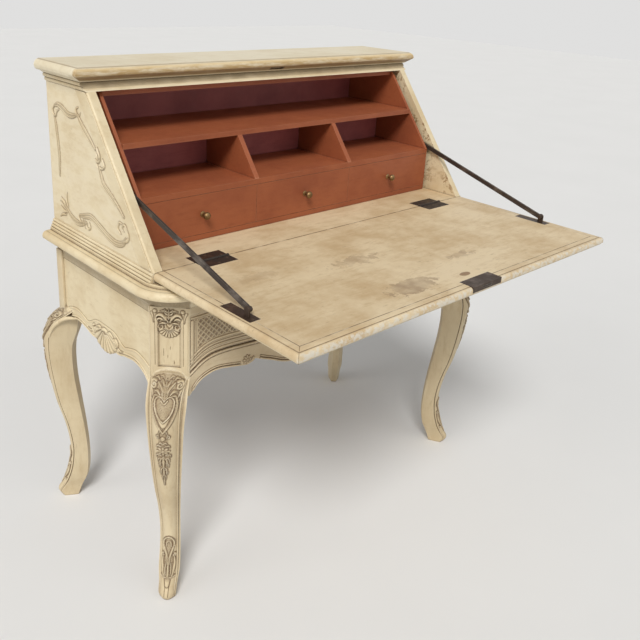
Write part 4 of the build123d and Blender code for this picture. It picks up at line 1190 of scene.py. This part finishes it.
def buildWaist():
    look = waistLook
    radius, halfFront = look["radius"], halfLower - look["radius"]
    turns = np.linspace(0, math.pi / 2, look["turnSteps"] + 1)
    ways = [(-math.cos(turn), -math.sin(turn)) for turn in turns]
    spots = [(-halfFront + radius * x, frontY + radius + radius * y) for x, y in ways]
    ways, spots = [(-1.0, 0.0)] + ways, [(-halfLower, backY)] + spots
    spots += [(-x, y) for x, y in reversed(spots)]
    ways += [(-x, y) for x, y in reversed(ways)]
    onSide, onCorner, onFront = look["setBack"]
    back = np.interp(turns, (0, math.pi / 2), (onSide, onFront)) + onCorner * np.sin(2 * turns)
    back = np.concatenate([[onSide], back, back[::-1], [onSide]])
    bm = bmesh.new()
    sweptGrid(bm, spots, ways, raised(look["profile"], waistZ), back, raised(look["fascia"], waistZ))
    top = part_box("waist_frame")[1].z
    inner = halfLower - look["sideRail"] / 2
    addBoard(bm, (-halfFront, frontY, waistZ), (halfFront, frontY + look["frontRail"], top))
    addBoard(bm, (-inner, frontY + radius, waistZ), (inner, frontY + look["frontRail"], top))
    addBoard(bm, (-inner, backY - look["backRail"], waistZ), (inner, backY, top))
    keepPiece("waist_frame_moulded", bm, "sidePaint", replaced=("waist_frame",))


# edge of the flap: flat, a quirk and a thumb moulding, mitred at the front corners
flapLook = {
    "profile": [  # distance in from the edge (negative), height over the flap's underside, glaze
        (-21.9, 0.15, 0), (-21.9, 16.85, 0.3), (-21.0, 16.85, 0), (-9.4, 16.85, 0), (-8.6, 16.6, 0.4),
        (-8.1, 15.9, 1.0), (-7.5, 15.8, 0.7), (-6.4, 16.1, 0), (-4.4, 15.8, 0), (-2.4, 14.6, 0), (-0.9, 12.6, 0),
        (-0.2, 10, 0), (-0.15, 4.4, 0), (-0.4, 3.2, 0.5), (-1.6, 2.4, 0.9), (-2.4, 1.6, 0.5), (-2.6, 0.15, 0.2),
    ],
}


def buildFlapEdge():
    low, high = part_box("flap_lipping_left")
    half, front, back = -low.x, low.y, high.y
    spots = [(-half, back), (-half, front), (half, front), (half, back)]
    ways = [(-1, 0), (-1, -1), (1, -1), (1, 0)]
    bm = bmesh.new()
    sweptGrid(bm, spots, ways, raised(flapLook["profile"], low.z))
    hidden = ("flap_lipping_left", "flap_lipping_right", "flap_lipping_front")
    keepPiece("flap_edge_moulded", bm, "flapPaint", body="flap", replaced=hidden, crease=32.0)


# under the side returns of the top the nose is rounded and drawn in to a small cove, darkened with glaze and with
# painted shade under the nose
returnLook = {
    "inside": [(-22, 0.4, 0), (-22, 12, 0), (-6, 17, 0)],  # distance out, height over the cornice, glaze
    "round": [
        (-0.5, 14.6, 0), (-0.6, 12.4, 0), (-1.5, 9.8, 0), (-3.2, 7.6, 0), (-5.6, 6.2, 0), (-8.2, 5.6, 0.3),
        # the lower rows are darkened: glaze in the cove and painted shade under the nose
        (-10.6, 5.5, 0.9), (-12.4, 4.6, 1.0), (-14.4, 2.6, 0.6), (-16.6, 0.9, 0.8),
    ],
    "start": 0.0184, "end": 0.0002, "ease": 0.020, "sunk": 4.8, "steps": 14,
}


def buildReturns():
    look = returnLook
    low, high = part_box("top_board")
    share = np.linspace(0, 1, look["steps"])
    length = high.y - low.y - look["start"] - look["end"]
    along = low.y + look["start"] + np.append(look["ease"] * share, length)
    sunk = look["sunk"] * np.append((0.5 + 0.5 * np.cos(math.pi * share)), 0.0)
    spots, ways = [(low.x, y) for y in along], [(-1.0, 0.0)] * len(along)
    bm = bmesh.new()
    sweptGrid(bm, spots, ways, raised(look["inside"], low.z), sunk, raised(look["round"], low.z))
    keepPair("top_return_rounded", bm, "nosePaint")


buildWaist()
buildFlapEdge()
buildReturns()
print("waist, flap edge and top returns moulded")


# carved face of each slanted side: a flat strip along the slant and a frame of scrolls
slantLook = {
    "face": -0.480, "proud": 0.5, "low": 747.0, "high": 1047.0, "board": 745.0,
    "foot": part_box("case_side_left")[0].y * 1000,
    "lean": 0.7673, "slope": 1.26, "square": 0.793, "margin": 5.0, "strip": 38.0, "stripRise": 1.3, "stripEdge": 1.6,
    "seam": (0.6, 1.3), "seamCut": 0.35, "seamGlaze": 0.55, "glaze": 0.85, "deep": 1.35, "soft": 2.0,
    "thickness": 0.002, "columns": 310, "rows": 300,
    "mark": 236,  # the carving is measured from a mark this far before the back
    "frames": [  # path, half width, rise
        ([(-79, 785), (-66, 771), (-40, 765), (-8, 770), (24, 781), (58, 792), (88, 787), (106, 783)], 7.4, 2.2),
        ([(80, 775), (100, 767), (122, 764), (146, 770), (165, 781), (180, 792)], 6.2, 2.2),
        ([(-76, 828), (-50, 846), (-18, 864), (2, 876), (11, 892), (16, 907)], 6.6, 2.2),
        ([(30, 940), (58, 961), (84, 981), (99, 998)], 6.6, 2.2),
        ([(101, 997), (120, 992), (140, 992), (164, 1001), (184, 1005), (201, 1001)], 6, 2.2),
        ([(203, 980), (198, 955), (193, 920), (191, 885), (194, 850)], 5.4, 1.9),
    ],
    "scrolls": [  # path, widths, rise
        # front curl and the leaf spray at the back of the foot
        ([(-66, 813), (-55, 812), (-50, 799), (-60, 791)], (1.4, 2.6, 2.6, 1.6), 2.6),
        ([(-70, 776), (-83, 782), (-91, 793), (-88, 804)], (3, 3.8, 3, 1.2), 2.4),
        ([(-88, 804), (-80, 813), (-70, 811), (-66, 803), (-72, 798)], (0.8, 2, 2.2, 1.8, 0.8), 2.4),
        ([(68, 778), (64, 769), (71, 763), (79, 767), (77, 774)], (1.2, 2.4, 2.4, 1.8, 0.8), 2.6),
        ([(104, 787), (112, 781), (107, 772), (98, 771), (95, 778)], (1, 2.4, 2.4, 1.6, 0.8), 2.6),
        ([(88, 779), (92, 768), (86, 760)], (1, 2.4, 0.8), 2.2),
        ([(162, 777), (178, 775), (196, 783)], (1.6, 3.2, 0.8), 2.6),
        ([(168, 786), (178, 796), (192, 803)], (1.4, 3, 0.8), 2.6),
        ([(172, 768), (188, 765), (202, 757)], (1.4, 2.8, 0.8), 2.4),
        ([(160, 789), (166, 803), (163, 820)], (1.2, 2.4, 0.6), 2.2),
        ([(176, 783), (190, 791), (199, 793)], (1, 2, 0.6), 2),
        # leaf clasp on the line along the slant
        ([(20, 946), (11, 930), (19, 917), (32, 921)], (1, 2.6, 2.6, 1), 2.8),
        ([(0, 927), (-7, 914), (5, 906), (14, 909)], (1, 2.2, 2.2, 1), 2.6),
        ([(28, 936), (22, 926), (24, 912), (16, 900)], (0.8, 2.2, 2, 0.8), 2.4),
        # curls at the head
        ([(95, 1013), (104, 1008), (101, 998)], (1.2, 2.6, 1.8), 2.6),
        ([(86, 1003), (92, 996), (100, 995)], (0.8, 2, 1), 2.2),
        ([(201, 1001), (209, 991), (203, 980), (193, 984), (195, 992)], (1.8, 2.6, 2.4, 1.6, 0.8), 2.6),
        ([(180, 996), (190, 990), (195, 978)], (1.2, 2.2, 0.8), 2.2),
    ],
}


def slantCarving():
    def moved(points):
        return [(along + backY * 1000 - slantLook["mark"], up) for along, up in points]

    strokes = [stroke(moved(points), width, rise) for points, width, rise in slantLook["scrolls"]]
    for points, half, rise in slantLook["frames"]:
        strokes += moulding(moved(points), half, rise)
    return strokes


def buildSlantSides():
    look = slantLook
    strokes = slantCarving()
    back = backY * 1000 - look["margin"]
    width = look["strip"] - look["margin"]

    def place(u, v):
        height = look["low"] + (look["high"] - look["low"]) * v
        edge = look["foot"] + (height - look["board"]) * look["lean"] + look["margin"] * look["slope"]
        along = edge + (back - edge) * u
        lift, hollow = carve(strokes, along, height, look["soft"])
        lift = soften(lift, u, v, look["columns"], look["rows"])
        inward = (along - edge) * look["square"]  # square to the slant
        strip = np.clip((width - inward) / look["stripEdge"], 0, 1)
        seam = line(inward, width + look["seam"][0], look["seam"][1])
        lift = lift * look["deep"] + look["proud"] + strip * look["stripRise"] - look["seamCut"] * seam
        spots = np.stack([look["face"] - lift / 1000, along / 1000, height / 1000], 1)
        return spots, np.maximum(look["glaze"] * hollow, look["seamGlaze"] * seam)

    bm = panelGrid(look["columns"], look["rows"], place, 0, look["face"] + look["thickness"])
    keepPair("slant_side_carving", bm, "sidePaint")


buildSlantSides()
print("slanted sides carved")


# turned brass knobs of the small drawers
knobLook = {
    "profile": [  # radius and distance from the drawer front
        (0, 0), (6.3, 0), (6.3, 1.2), (5.2, 2.0), (3.4, 3.2), (3.0, 6.0), (3.6, 9.0), (5.5, 11.0), (7.6, 12.6),
        (8.4, 14.6), (8.2, 17.0), (7.0, 19.4), (4.6, 21.2), (2.0, 21.9), (0, 22),
    ],
    "steps": 36,
}


def buildKnob(side):
    name = "small_drawer_knob_" + side
    low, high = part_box(name)
    middle = (low + high) / 2
    bm = bmesh.new()
    verts = [bm.verts.new((middle.x + radius / 1000, high.y - out / 1000, middle.z))
             for radius, out in knobLook["profile"]]
    edges = [bm.edges.new(pair) for pair in zip(verts[:-1], verts[1:])]
    bmesh.ops.spin(bm, geom=verts + edges, cent=(middle.x, 0, middle.z), axis=(0, 1, 0), angle=2 * math.pi,
                   steps=knobLook["steps"], use_merge=True)
    bmesh.ops.remove_doubles(bm, verts=bm.verts, dist=1e-6)
    keepPiece("turned_knob_" + side, bm, "brass", body="small_drawer_" + side, slot="brass", replaced=(name,))


# slotted screws of the hinges, the stay brackets and the lock
screwLook = {
    "rise": 0.0003, "slot": 0.00045, "slotFloor": 0.8, "deep": 0.00035, "taper": 0.8, "segments": 20,
    "places": {  # plates of each body: radius, first turn, turn to the next, shares of the plate's length and depth
        "case": [
            (("hinge_fixed_leaf_left", "hinge_fixed_leaf_right"), 0.0034, 40, 65,
             ((0.14, 0.34), (0.5, 0.72), (0.86, 0.34))),
        ],
        "flap": [
            (("hinge_moving_leaf_left", "hinge_moving_leaf_right"), 0.0034, 40, 65,
             ((0.14, 0.62), (0.5, 0.24), (0.86, 0.62))),
            (("stay_bracket_left", "stay_bracket_right"), 0.0028, 20, 80, ((0.5, 0.09), (0.5, 0.91))),
            (("lock_case",), 0.0024, 0, 35, ((0.06, 0.25), (0.06, 0.75), (0.94, 0.25), (0.94, 0.75))),
        ],
    },
}


def addScrew(bm, where, radius, turn):
    look = screwLook
    made = bmesh.ops.create_cone(bm, cap_ends=True, segments=look["segments"], radius1=radius,
                                 radius2=radius * look["taper"], depth=2 * look["rise"])["verts"]
    geom = list({part for vert in made for part in (vert, *vert.link_edges, *vert.link_faces)})
    for share in (-1, -look["slotFloor"], look["slotFloor"], 1):
        cut = bmesh.ops.bisect_plane(bm, geom=geom, plane_co=(0, look["slot"] * share, 0), plane_no=(0, 1, 0))
        geom = cut["geom"]
    verts = [part for part in geom if isinstance(part, bmesh.types.BMVert)]
    slot = [vert for vert in verts if vert.co.z > 0.9 * look["rise"] and abs(vert.co.y) < 0.9 * look["slot"]]
    bmesh.ops.translate(bm, vec=(0, 0, -look["deep"]), verts=slot)
    bmesh.ops.rotate(bm, matrix=Matrix.Rotation(math.radians(turn), 3, "Z"), verts=verts)
    bmesh.ops.translate(bm, vec=where, verts=verts)


def buildScrews():
    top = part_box("flap_panel")[1].z
    for body, plates in screwLook["places"].items():
        bm = bmesh.new()
        for names, radius, first, step, places in plates:
            for low, high in map(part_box, names):
                for index, (along, depth) in enumerate(places):
                    where = (low.x + (high.x - low.x) * along, low.y + (high.y - low.y) * depth, top)
                    addScrew(bm, where, radius, first + step * index)
        keepPiece("screws_on_" + body, bm, "darkIron", body=body, slot="dark_iron", crease=25.0)


for knobSide in ("left", "middle", "right"):
    buildKnob(knobSide)
buildScrews()
print("knobs turned, screws set")
